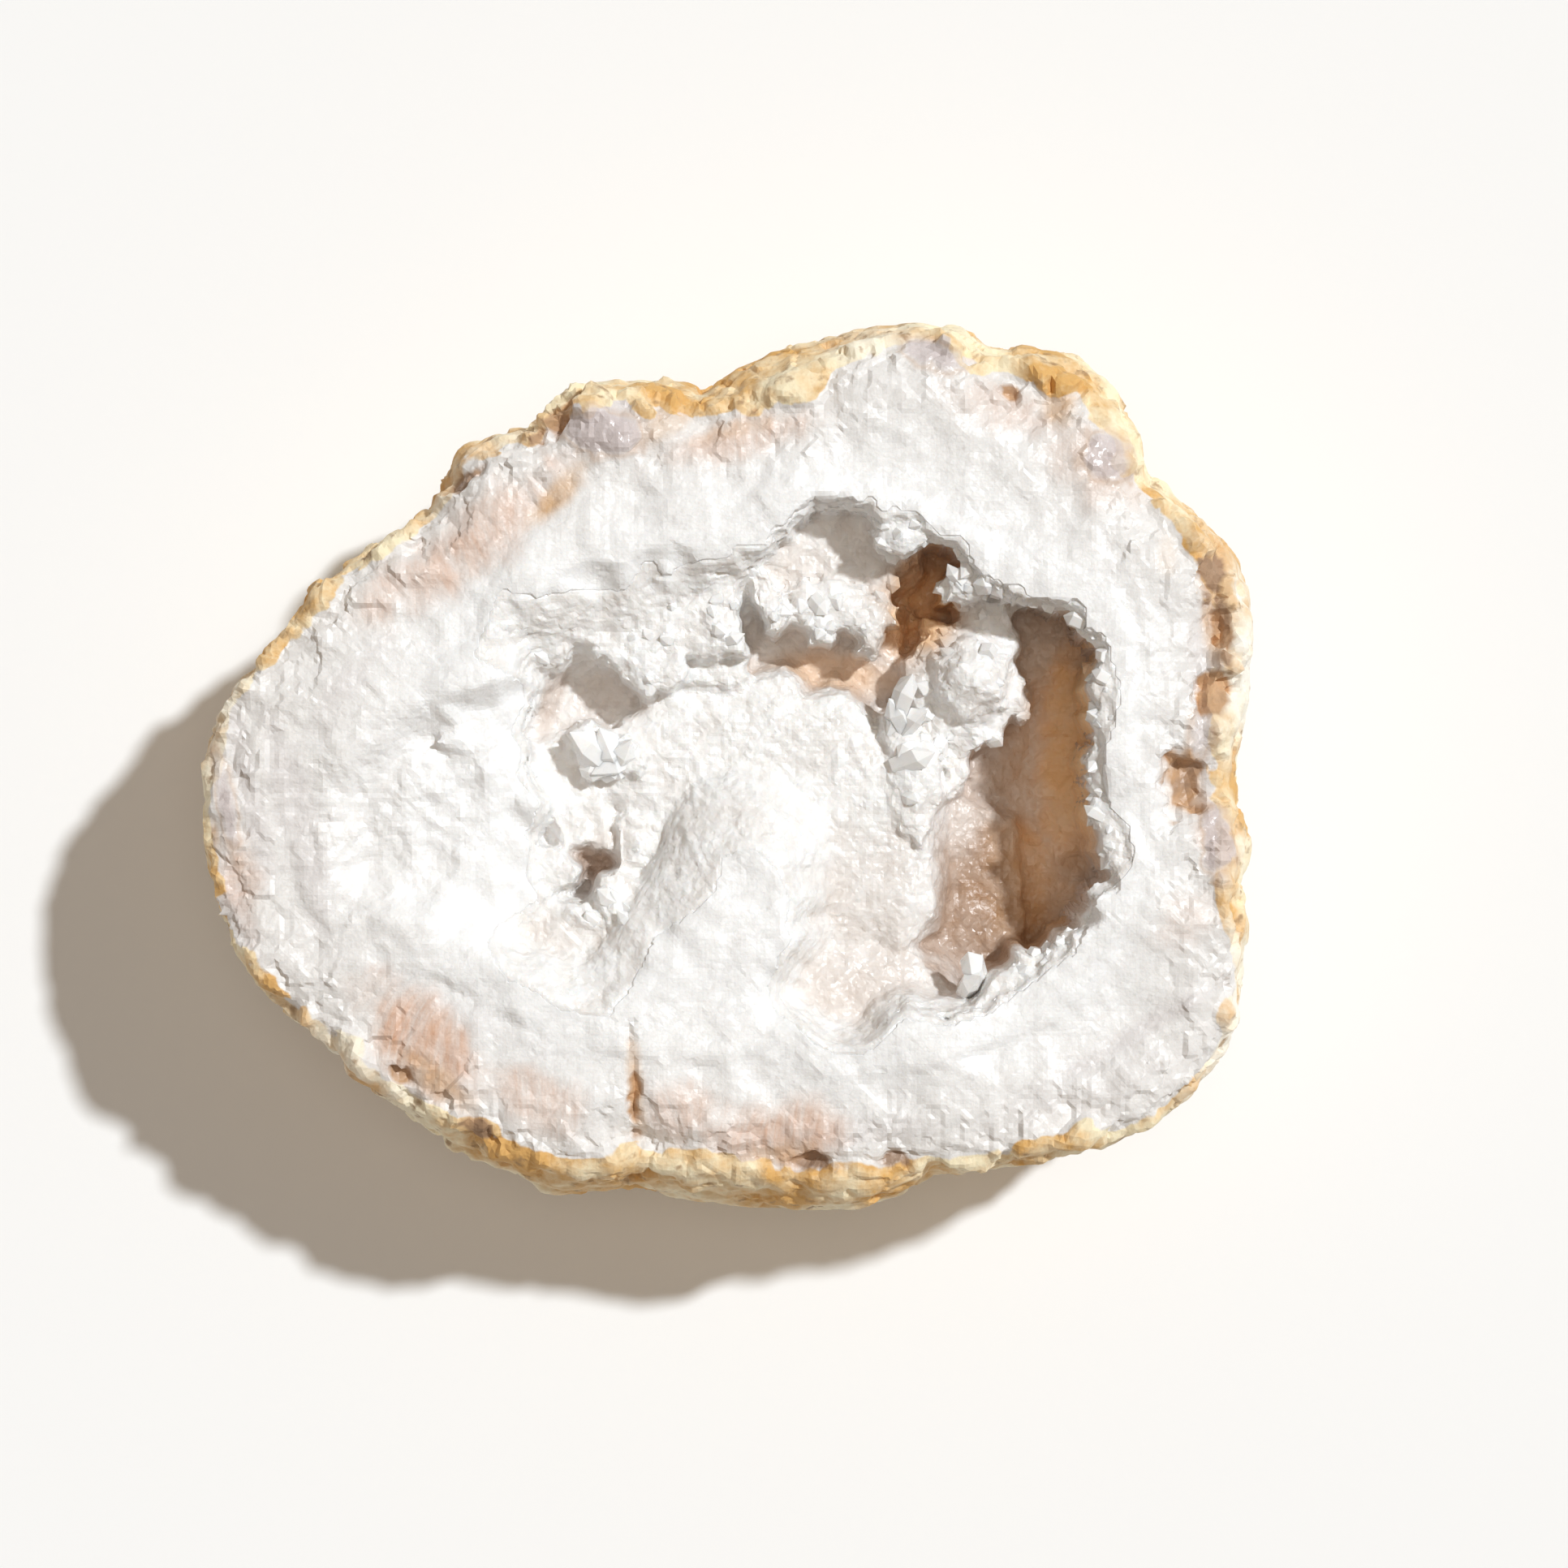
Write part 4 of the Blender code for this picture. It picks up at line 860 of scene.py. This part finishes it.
def add_point(bm, dice, tip, heading, rise, width, length):
    """A six-sided quartz crystal with an uneven pointed end, its tip in a given place."""
    radius = width / 2.0
    ring_low, ring_high = [], []
    for side in range(6):
        turn = math.radians(60.0 * side)
        reach = radius * dice.uniform(0.8, 1.15)
        x, y = reach * math.cos(turn), reach * math.sin(turn)
        ring_low.append(bm.verts.new((0.85 * x, 0.85 * y, -length)))
        ring_high.append(bm.verts.new((x, y, -width * dice.uniform(0.55, 0.95))))
    tip_vertex = bm.verts.new((dice.uniform(-0.25, 0.25) * radius, dice.uniform(-0.25, 0.25) * radius, 0.0))
    faces = [bm.faces.new(list(reversed(ring_low)))]
    for side in range(6):
        after = (side + 1) % 6
        faces.append(bm.faces.new((ring_low[side], ring_low[after], ring_high[after], ring_high[side])))
        faces.append(bm.faces.new((ring_high[side], ring_high[after], tip_vertex)))
    up, aside = math.radians(rise), math.radians(heading)
    way = Vector((math.cos(up) * math.cos(aside), math.cos(up) * math.sin(aside), math.sin(up)))
    spin = Matrix.Rotation(dice.uniform(0.0, math.tau), 4, "Z")
    place = Matrix.Translation(tip) @ way.to_track_quat("Z", "Y").to_matrix().to_4x4() @ spin
    for vertex in ring_low + ring_high + [tip_vertex]:
        vertex.co = place @ vertex.co


def build_points(finish):
    """The quartz points that stand alone."""
    bm = bmesh.new()
    dice = random.Random(SEED + 2)
    for x, y, depth, heading, rise, width, length in POINTS:
        add_point(bm, dice, Vector((x, y, FACE_HEIGHT - depth)), heading, rise, width, length)
    bmesh.ops.scale(bm, vec=(MM, MM, MM), verts=bm.verts)
    mesh = bpy.data.meshes.new("quartz_points")
    bm.to_mesh(mesh)
    bm.free()
    mesh.materials.append(finish)
    return new_piece("quartz_points", mesh)


def maths(tree, operation, first, second=0.0):
    return add(tree, "ShaderNodeMath", {0: first, 1: second}, operation=operation).outputs[0]


def blended(tree, share, first, second):
    """A colour between two, by share."""
    node = add(tree, "ShaderNodeMix", {"Factor": share, "A": first, "B": second}, data_type="RGBA")
    return out(node, "Result")


def ranged(tree, value, low, high, to_low, to_high):
    node = add(tree, "ShaderNodeMapRange", {"Value": value, "From Min": low, "From Max": high,
                                            "To Min": to_low, "To Max": to_high})
    return node.outputs[0]


def mark(tree, name):
    """A number that paint() has put on the mesh."""
    return add(tree, "ShaderNodeAttribute", attribute_name=name).outputs["Fac"]


def facets(tree, place, scale):
    """Flat faces of small crystals, each tilted its own way, as a height."""
    cells = add(tree, "ShaderNodeTexVoronoi", {"Vector": place, "Scale": scale, "Randomness": 1.0})
    away = add(tree, "ShaderNodeVectorMath", {0: place, 1: cells.outputs["Position"]}, operation="SUBTRACT")
    tilt = add(tree, "ShaderNodeVectorMath", {0: cells.outputs["Color"], 1: (0.5, 0.5, 0.5)}, operation="SUBTRACT")
    slope = add(tree, "ShaderNodeVectorMath", {0: away.outputs[0], 1: tilt.outputs[0]}, operation="DOT_PRODUCT")
    return maths(tree, "MULTIPLY", slope.outputs["Value"], scale)


def grain_group():
    """Shared by every finish: the facets of small crystals, as a height and as a soft mottle."""
    tree = bpy.data.node_groups.new("sugary_grain", "ShaderNodeTree")
    face = tree.interface
    face.new_socket("Place", in_out="INPUT", socket_type="NodeSocketVector")
    face.new_socket("Grain size", in_out="INPUT", socket_type="NodeSocketFloat")
    face.new_socket("Height", in_out="OUTPUT", socket_type="NodeSocketFloat")
    face.new_socket("Mottle", in_out="OUTPUT", socket_type="NodeSocketFloat")
    given = tree.nodes.new("NodeGroupInput").outputs
    scale = maths(tree, "DIVIDE", 1.0, given["Grain size"])
    small = maths(tree, "MULTIPLY", scale, 2.3)
    height = maths(tree, "ADD", facets(tree, given["Place"], scale),
                   maths(tree, "MULTIPLY", facets(tree, given["Place"], small), 0.4))
    fine = add(tree, "ShaderNodeTexNoise", {"Vector": given["Place"], "Scale": small, "Detail": 2.0})
    height = maths(tree, "ADD", height, maths(tree, "MULTIPLY", fine.outputs[0], 0.3))
    broad = add(tree, "ShaderNodeTexNoise", {"Vector": given["Place"], "Scale": maths(tree, "MULTIPLY", scale, 0.3),
                                             "Detail": 4.0, "Roughness": 0.65})
    result = tree.nodes.new("NodeGroupOutput")
    tree.links.new(height, result.inputs["Height"])
    tree.links.new(ranged(tree, broad.outputs[0], 0.35, 0.65, 0.0, 1.0), result.inputs["Mottle"])
    return tree


def new_material(name):
    material = bpy.data.materials.new(name)
    material.use_nodes = True
    material.node_tree.nodes.clear()
    tree = material.node_tree
    shader = tree.nodes.new("ShaderNodeBsdfPrincipled")
    surface = tree.nodes.new("ShaderNodeOutputMaterial")
    tree.links.new(shader.outputs[0], surface.inputs["Surface"])
    return material, tree, shader


def use_group(tree, group, **inputs):
    node = tree.nodes.new("ShaderNodeGroup")
    node.node_tree = group
    for name, value in inputs.items():
        socket = node.inputs[name.replace("_", " ")]
        if isinstance(value, bpy.types.NodeSocket):
            tree.links.new(value, socket)
        else:
            socket.default_value = value
    return node


def milky(shader, weight, reach):
    """Light that goes into milky quartz and comes out beside."""
    shader.inputs["Subsurface Weight"].default_value = weight
    shader.inputs["Subsurface Radius"].default_value = (1.0, 0.86, 0.74)
    shader.inputs["Subsurface Scale"].default_value = reach * MM
    shader.inputs["IOR"].default_value = 1.54


def stone_finish(grain):
    """Sugary broken white quartz inside a chalky ochre and cream rind."""
    material, tree, shader = new_material("sugary_quartz_and_rind")
    place = add(tree, "ShaderNodeTexCoord").outputs["Object"]
    fibre = add(tree, "ShaderNodeAttribute", attribute_name="fibre").outputs["Vector"]
    sugar = use_group(tree, grain, Place=place, Grain_size=0.7 * MM)
    fine_fibres = add(tree, "ShaderNodeTexNoise", {"Vector": fibre, "Scale": 1.6, "Detail": 3.0,
                                                   "Roughness": 0.6}).outputs[0]
    wall = mark(tree, "wall")
    white = blended(tree, ranged(tree, wall, 0.25, 0.95, 0.0, 1.0), (0.93, 0.925, 0.92, 1), (0.84, 0.815, 0.79, 1))
    streaks = ranged(tree, fine_fibres, 0.35, 0.7, 0.0, 0.35)
    white = blended(tree, maths(tree, "MULTIPLY", streaks, wall), white, (0.70, 0.66, 0.64, 1))
    patchy = ranged(tree, sugar.outputs["Mottle"], 0.0, 1.0, 0.65, 1.0)
    lilac = maths(tree, "MULTIPLY", mark(tree, "lilac"), patchy)
    white = blended(tree, maths(tree, "MULTIPLY", lilac, 0.75), white, (0.62, 0.56, 0.56, 1))
    sugary = maths(tree, "MULTIPLY", patchy, ranged(tree, fine_fibres, 0.3, 0.62, 0.5, 1.0))
    salmon = maths(tree, "MULTIPLY", mark(tree, "salmon"), sugary)
    white = blended(tree, salmon, white, (0.70, 0.43, 0.29, 1))
    ochre = maths(tree, "MULTIPLY", mark(tree, "ochre"), patchy)
    white = blended(tree, maths(tree, "MULTIPLY", ochre, 0.9), white, (0.66, 0.38, 0.15, 1))
    # The hollow's brown on the stone: partly iron stain, partly painted shade
    white = blended(tree, maths(tree, "MULTIPLY", mark(tree, "brown"), 0.8), white, (0.58, 0.40, 0.30, 1))
    rusty = add(tree, "ShaderNodeTexNoise", {"Vector": place, "Scale": 120.0, "Detail": 5.0,
                                             "Roughness": 0.62}).outputs[0]
    rind = blended(tree, ranged(tree, rusty, 0.43, 0.60, 0.0, 1.0), (0.94, 0.82, 0.58, 1), (0.72, 0.42, 0.14, 1))
    specks = add(tree, "ShaderNodeTexNoise", {"Vector": place, "Scale": 620.0, "Detail": 3.0}).outputs[0]
    chalk = maths(tree, "MULTIPLY", mark(tree, "chalky"), ranged(tree, rusty, 0.42, 0.62, 1.0, 0.3))
    rind = blended(tree, chalk, rind, (0.93, 0.88, 0.79, 1))
    rind = blended(tree, ranged(tree, specks, 0.60, 0.72, 0.0, 0.8), rind, (0.36, 0.22, 0.11, 1))
    edge = maths(tree, "ADD", mark(tree, "rind"), maths(tree, "MULTIPLY", ranged(tree, rusty, 0.3, 0.7, -0.5, 0.5), 0.6))
    colour = blended(tree, ranged(tree, edge, 0.42, 0.62, 0.0, 1.0), white, rind)
    agate = mark(tree, "agate")
    band = maths(tree, "MULTIPLY", ranged(tree, agate, 0.05, 0.25, 0.0, 1.0), ranged(tree, agate, 0.3, 0.5, 1.0, 0.0))
    colour = blended(tree, maths(tree, "MULTIPLY", band, 0.45), colour, (0.60, 0.42, 0.30, 1))
    colour = blended(tree, ranged(tree, agate, 0.3, 0.6, 0.0, 0.8), colour, (0.64, 0.56, 0.55, 1))
    pit = ranged(tree, mark(tree, "pit"), 0.15, 0.6, 0.0, 0.9)
    pit_brown = blended(tree, ranged(tree, rusty, 0.4, 0.6, 0.0, 1.0), (0.62, 0.36, 0.17, 1), (0.36, 0.23, 0.15, 1))
    colour = blended(tree, pit, colour, pit_brown)
    tree.links.new(colour, shader.inputs["Base Color"])
    rough = maths(tree, "SUBTRACT", ranged(tree, mark(tree, "rind"), 0.2, 0.8, 0.42, 0.82),
                  maths(tree, "MULTIPLY", agate, 0.2))
    tree.links.new(rough, shader.inputs["Roughness"])
    height = maths(tree, "ADD", sugar.outputs["Height"], maths(tree, "MULTIPLY", maths(tree, "MULTIPLY", fine_fibres, wall), 0.3))
    bump = add(tree, "ShaderNodeBump", {"Height": height, "Strength": 0.5, "Distance": 0.2 * MM})
    tree.links.new(bump.outputs[0], shader.inputs["Normal"])
    milky(shader, 0.2, 0.6)
    return material


def druse_finish(name, grain, roughness, weight, grain_size, bumpiness):
    """Milky quartz crystals, browner deep in the hollow from iron stain and painted shade, with painted shade in the
    creases between crystals and a painted glow where the hollow lies in shade.
    """
    material, tree, shader = new_material(name)
    place = add(tree, "ShaderNodeTexCoord").outputs["Object"]
    sugar = use_group(tree, grain, Place=place, Grain_size=grain_size * MM)
    white = blended(tree, sugar.outputs["Mottle"], (0.965, 0.965, 0.96, 1), (0.90, 0.89, 0.875, 1))
    # Painted shade: warm grey in the creases between the crystals
    white = blended(tree, maths(tree, "MULTIPLY", mark(tree, "crease_shade"), 0.6), white, (0.78, 0.73, 0.69, 1))
    brown = maths(tree, "MULTIPLY", mark(tree, "brown"), ranged(tree, sugar.outputs["Mottle"], 0.0, 1.0, 0.8, 1.0))
    # Painted light and shade: a darker brown where the key light falls, a lighter painted glow where the hollow is in
    # shade
    tint = blended(tree, mark(tree, "painted_glow"), (0.38, 0.22, 0.12, 1), (1.0, 0.64, 0.34, 1))
    colour = blended(tree, brown, white, tint)
    tree.links.new(colour, shader.inputs["Base Color"])
    tree.links.new(ranged(tree, sugar.outputs["Mottle"], 0.0, 1.0, roughness, roughness + 0.12),
                   shader.inputs["Roughness"])
    bump = add(tree, "ShaderNodeBump", {"Height": sugar.outputs["Height"], "Strength": bumpiness,
                                        "Distance": 0.4 * MM})
    tree.links.new(bump.outputs[0], shader.inputs["Normal"])
    milky(shader, weight, 0.4)
    return material


def build_stone(skin, grid, finish):
    """The whole stone, sunk under its druse, with fewer faces where they are hidden."""
    mesh = skin.copy()
    mesh.name = "geode_stone"
    rind, in_hollow = zones(mesh)
    places = mesh_places(mesh)
    covered = np.nonzero(in_hollow > -0.5)[0]
    x, y, height, _ = grid
    column = np.rint((places[covered, 0] - x[0, 0]) / BED_STEP).astype(int)
    row = np.rint((places[covered, 1] - y[0, 0]) / BED_STEP).astype(int)
    share = smooth_step(0.3, 2.4, in_hollow[covered])
    bed = height[row, column] * (1.0 - share) + lowest_round(height, COVER_REACH)[row, column] * share
    places[covered, 2] = np.minimum(places[covered, 2], bed - BED_COVER)
    hidden = np.maximum(smooth_step(2.4, 3.0, in_hollow), smooth_step(16.0, 10.0, places[:, 2]) * (in_hollow < -5.0))
    move_points(mesh, places)
    put_value(mesh, "rind", rind)
    paint(mesh)
    stone = new_piece("geode_stone", mesh)
    thin_out(stone, hidden > 0.5)
    stone.data.materials.clear()
    stone.data.materials.append(finish)
    return stone


def thin_out(piece, hidden):
    """Leave fewer faces where nobody sees them."""
    hidden_points = piece.vertex_groups.new(name="hidden")
    hidden_points.add(np.nonzero(hidden)[0].tolist(), 1.0, "REPLACE")
    thinner = piece.modifiers.new("fewer hidden faces", "DECIMATE")
    thinner.ratio = 1.0 - hidden.mean() * (1.0 - HIDDEN_KEPT)
    thinner.vertex_group = "hidden"
    thinner.vertex_group_factor = 1.0
    thinner.use_collapse_triangulate = True
    mesh = finished_mesh(piece)
    piece.modifiers.clear()
    piece.data = mesh
    piece.vertex_groups.clear()


def bed_grid(rim):
    """The height of the bed on an even grid: its places by row and column, and which of them it covers."""
    across = np.arange(-41.0, 41.0, BED_STEP)
    along = np.arange(-30.0, 28.0, BED_STEP)
    x, y = np.meshgrid(across, along)
    kept = depth_inside(HOLLOW_EDGE, x.ravel(), y.ravel()).reshape(x.shape) > -1.3
    height = np.full(x.shape, FACE_HEIGHT)
    height[kept], _ = bed_form(x[kept], y[kept], rim)
    return x, y, height, kept


def lowest_round(height, reach):
    """The lowest value within a reach of each place of a grid."""
    lowest = height.copy()
    for step in range(1, reach + 1):
        for axis in (0, 1):
            lowest = np.minimum(lowest, np.roll(height, step, axis))
            lowest = np.minimum(lowest, np.roll(height, -step, axis))
        for turn in ((step, step), (step, -step), (-step, step), (-step, -step)):
            lowest = np.minimum(lowest, np.roll(height, turn, (0, 1)))
    return lowest


def bed_ground(grid, rim):
    """The bed of the druse, a thin closed crust whose top follows the ledges, with its crystals carved."""
    x, y, height, kept = (part.ravel() for part in grid)
    index = np.arange(len(x)).reshape(grid[0].shape)
    corners = np.stack([index[:-1, :-1], index[:-1, 1:], index[1:, 1:], index[1:, :-1]], axis=-1).reshape(-1, 4)
    corners = corners[kept[corners].all(axis=1)]
    number = np.cumsum(kept) - 1
    mesh = bpy.data.meshes.new("sheet")
    places = np.stack([x, y, height], axis=1)[kept] * MM
    mesh.from_pydata(places.tolist(), [], number[corners].tolist())
    sheet = new_piece("sheet", mesh)
    wall = sheet.modifiers.new("crust", "SOLIDIFY")
    wall.thickness = BED_THICKNESS * MM
    wall.offset = -1.0
    remesh = sheet.modifiers.new("even faces", "REMESH")
    remesh.mode = "VOXEL"
    remesh.voxel_size = BED_VOXEL * MM
    mesh = finished_mesh(sheet)
    bpy.data.objects.remove(sheet)
    mesh = largest_shell(mesh)
    places, normals = mesh_places(mesh), point_normals(mesh)
    ahead = places + 0.6 * normals
    level, width = bed_form(ahead[:, 0], ahead[:, 1], rim)
    is_open = ahead[:, 2] > level
    large = smooth_step(0.8, 2.2, width)
    blocks = crystal_tops(places, 3.0, 300)
    crystals = crystal_tops(places, 1.6, 320)
    sugar = crystal_tops(places, 1.0, 330)
    plates, _ = chips(places, 2.6, 360)
    relief = (0.25 + 0.65 * large) * blocks + (0.42 + 0.1 * large) * crystals + 0.3 * sugar + 0.16 * large * plates
    relief *= 0.25 + 0.75 * smooth_step(-0.8, 1.0, depth_inside(HOLLOW_EDGE, places[:, 0], places[:, 1]))
    relief *= smooth_step(0.0, 0.5, np.abs(normals[:, 2]) + 0.2)
    move_points(mesh, places + normals * (relief * is_open)[:, None])
    # Painted shade: how far down in a crease between crystals a place lies
    put_value(mesh, "crease_shade", smooth_step(0.1, -0.35, blocks) * 0.5 + smooth_step(0.1, -0.35, crystals) * 0.5)
    put_value(mesh, "open", is_open.astype(float))
    put_value(mesh, "width", width)
    return mesh


def read_value(mesh, name):
    values = np.empty(len(mesh.vertices), np.float32)
    mesh.attributes[name].data.foreach_get("value", values)
    return values


def build_bed(ground, finish):
    bed = new_piece("druse_bed", ground.copy())
    thin_out(bed, read_value(ground, "open") < 0.5)
    paint(bed.data)
    bed.data.materials.clear()
    bed.data.materials.append(finish)
    return bed


def mark_crystals(ground):
    """How thickly and how coarsely crystals grow: on the ledges, and as teeth along the hollow's edge."""
    width = read_value(ground, "width")
    x, y, z = mesh_places(ground).T
    inside = depth_inside(HOLLOW_EDGE, x, y)
    teeth = smooth_step(-0.2, 0.3, inside) * smooth_step(2.4, 1.6, inside) * (z > FACE_HEIGHT - TEETH_DEPTH)
    teeth *= smooth_step(4.0, 9.0, wall_steepness(x, y))
    on_ledges = 0.3 * smooth_step(1.4, 1.9, width) * (z > CRYSTALS_ABOVE)
    put_value(ground, "coarse", np.clip(0.55 * np.maximum(width, 1.7 * teeth), 0.5, 1.2))
    put_value(ground, "thickly", read_value(ground, "open") * np.maximum(on_ledges, teeth))


def build_floor():
    bpy.ops.mesh.primitive_plane_add(size=3.0)
    floor = bpy.context.object
    floor.name = "floor"
    material, tree, shader = new_material("pale_floor")
    shader.inputs["Base Color"].default_value = (0.93, 0.93, 0.93, 1)
    shader.inputs["Roughness"].default_value = 0.9
    floor.data.materials.append(material)


def light_and_camera():
    camera = bpy.data.cameras.new("camera")
    camera.sensor_width = 36.0
    camera.lens = camera.sensor_width * VIEW_DISTANCE / VIEW_WIDTH
    eye = bpy.data.objects.new("camera", camera)
    eye.location = (VIEW_CENTRE[0] * MM, VIEW_CENTRE[1] * MM, (FACE_HEIGHT + VIEW_DISTANCE) * MM)
    bpy.context.scene.collection.objects.link(eye)
    bpy.context.scene.camera = eye

    key = bpy.data.lights.new("key_light", "SUN")
    key.energy = 2.85
    key.angle = math.radians(3.0)
    key.color = (0.925, 0.97, 1.0)
    lamp = bpy.data.objects.new("key_light", key)
    towards = Vector((0.495, 0.338, 0.801))
    lamp.rotation_euler = towards.to_track_quat("Z", "Y").to_euler()
    bpy.context.scene.collection.objects.link(lamp)

    fill = bpy.data.lights.new("light_from_above", "SUN")
    fill.energy = 0.45
    fill.angle = math.radians(30.0)
    fill.color = (1.0, 0.87, 0.73)
    bpy.context.scene.collection.objects.link(bpy.data.objects.new("light_from_above", fill))

    world = bpy.data.worlds.new("soft_room")
    bpy.context.scene.world = world
    world.use_nodes = True
    sky = world.node_tree.nodes["Background"]
    sky.inputs["Color"].default_value = (1.0, 0.87, 0.74, 1)
    sky.inputs["Strength"].default_value = 0.20
    bpy.context.scene.view_settings.view_transform = "Standard"


def main():
    light_and_camera()
    build_floor()
    grain = grain_group()
    stone_look = stone_finish(grain)
    bed_look = druse_finish("milky_druse_bed", grain, 0.30, 0.5, 1.0, 0.45)
    crystal_look = druse_finish("milky_quartz_crystals", grain, 0.22, 0.5, 0.8, 0.10)

    skin = bare_skin()
    carve(skin)
    keep_in_box(skin)
    rim = rim_places(skin)
    grid = bed_grid(rim)
    stone = build_stone(skin, grid, stone_look)
    ground = bed_ground(grid, rim)
    bed = build_bed(ground, bed_look)

    tree = growth_tree()
    crystals = crystal_shapes("druse_crystal", 6, 0.2)
    mark_crystals(ground)
    druse = grow("druse_crystals", tree, ground, crystals, crystal_look, spacing=1.2 * MM, thickly=2.0e6,
                 smallest=1.0 * MM, largest=2.0 * MM, tilt=0.7, stretch=0.1, seed=3)
    paint(druse.data)
    points = build_points(crystal_look)
    paint(points.data)

    for piece in (stone, bed, druse, points):
        keep_in_box(piece.data)
        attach(piece, "root")
    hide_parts("geode_shell")
    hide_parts("crystal_crust")


main()
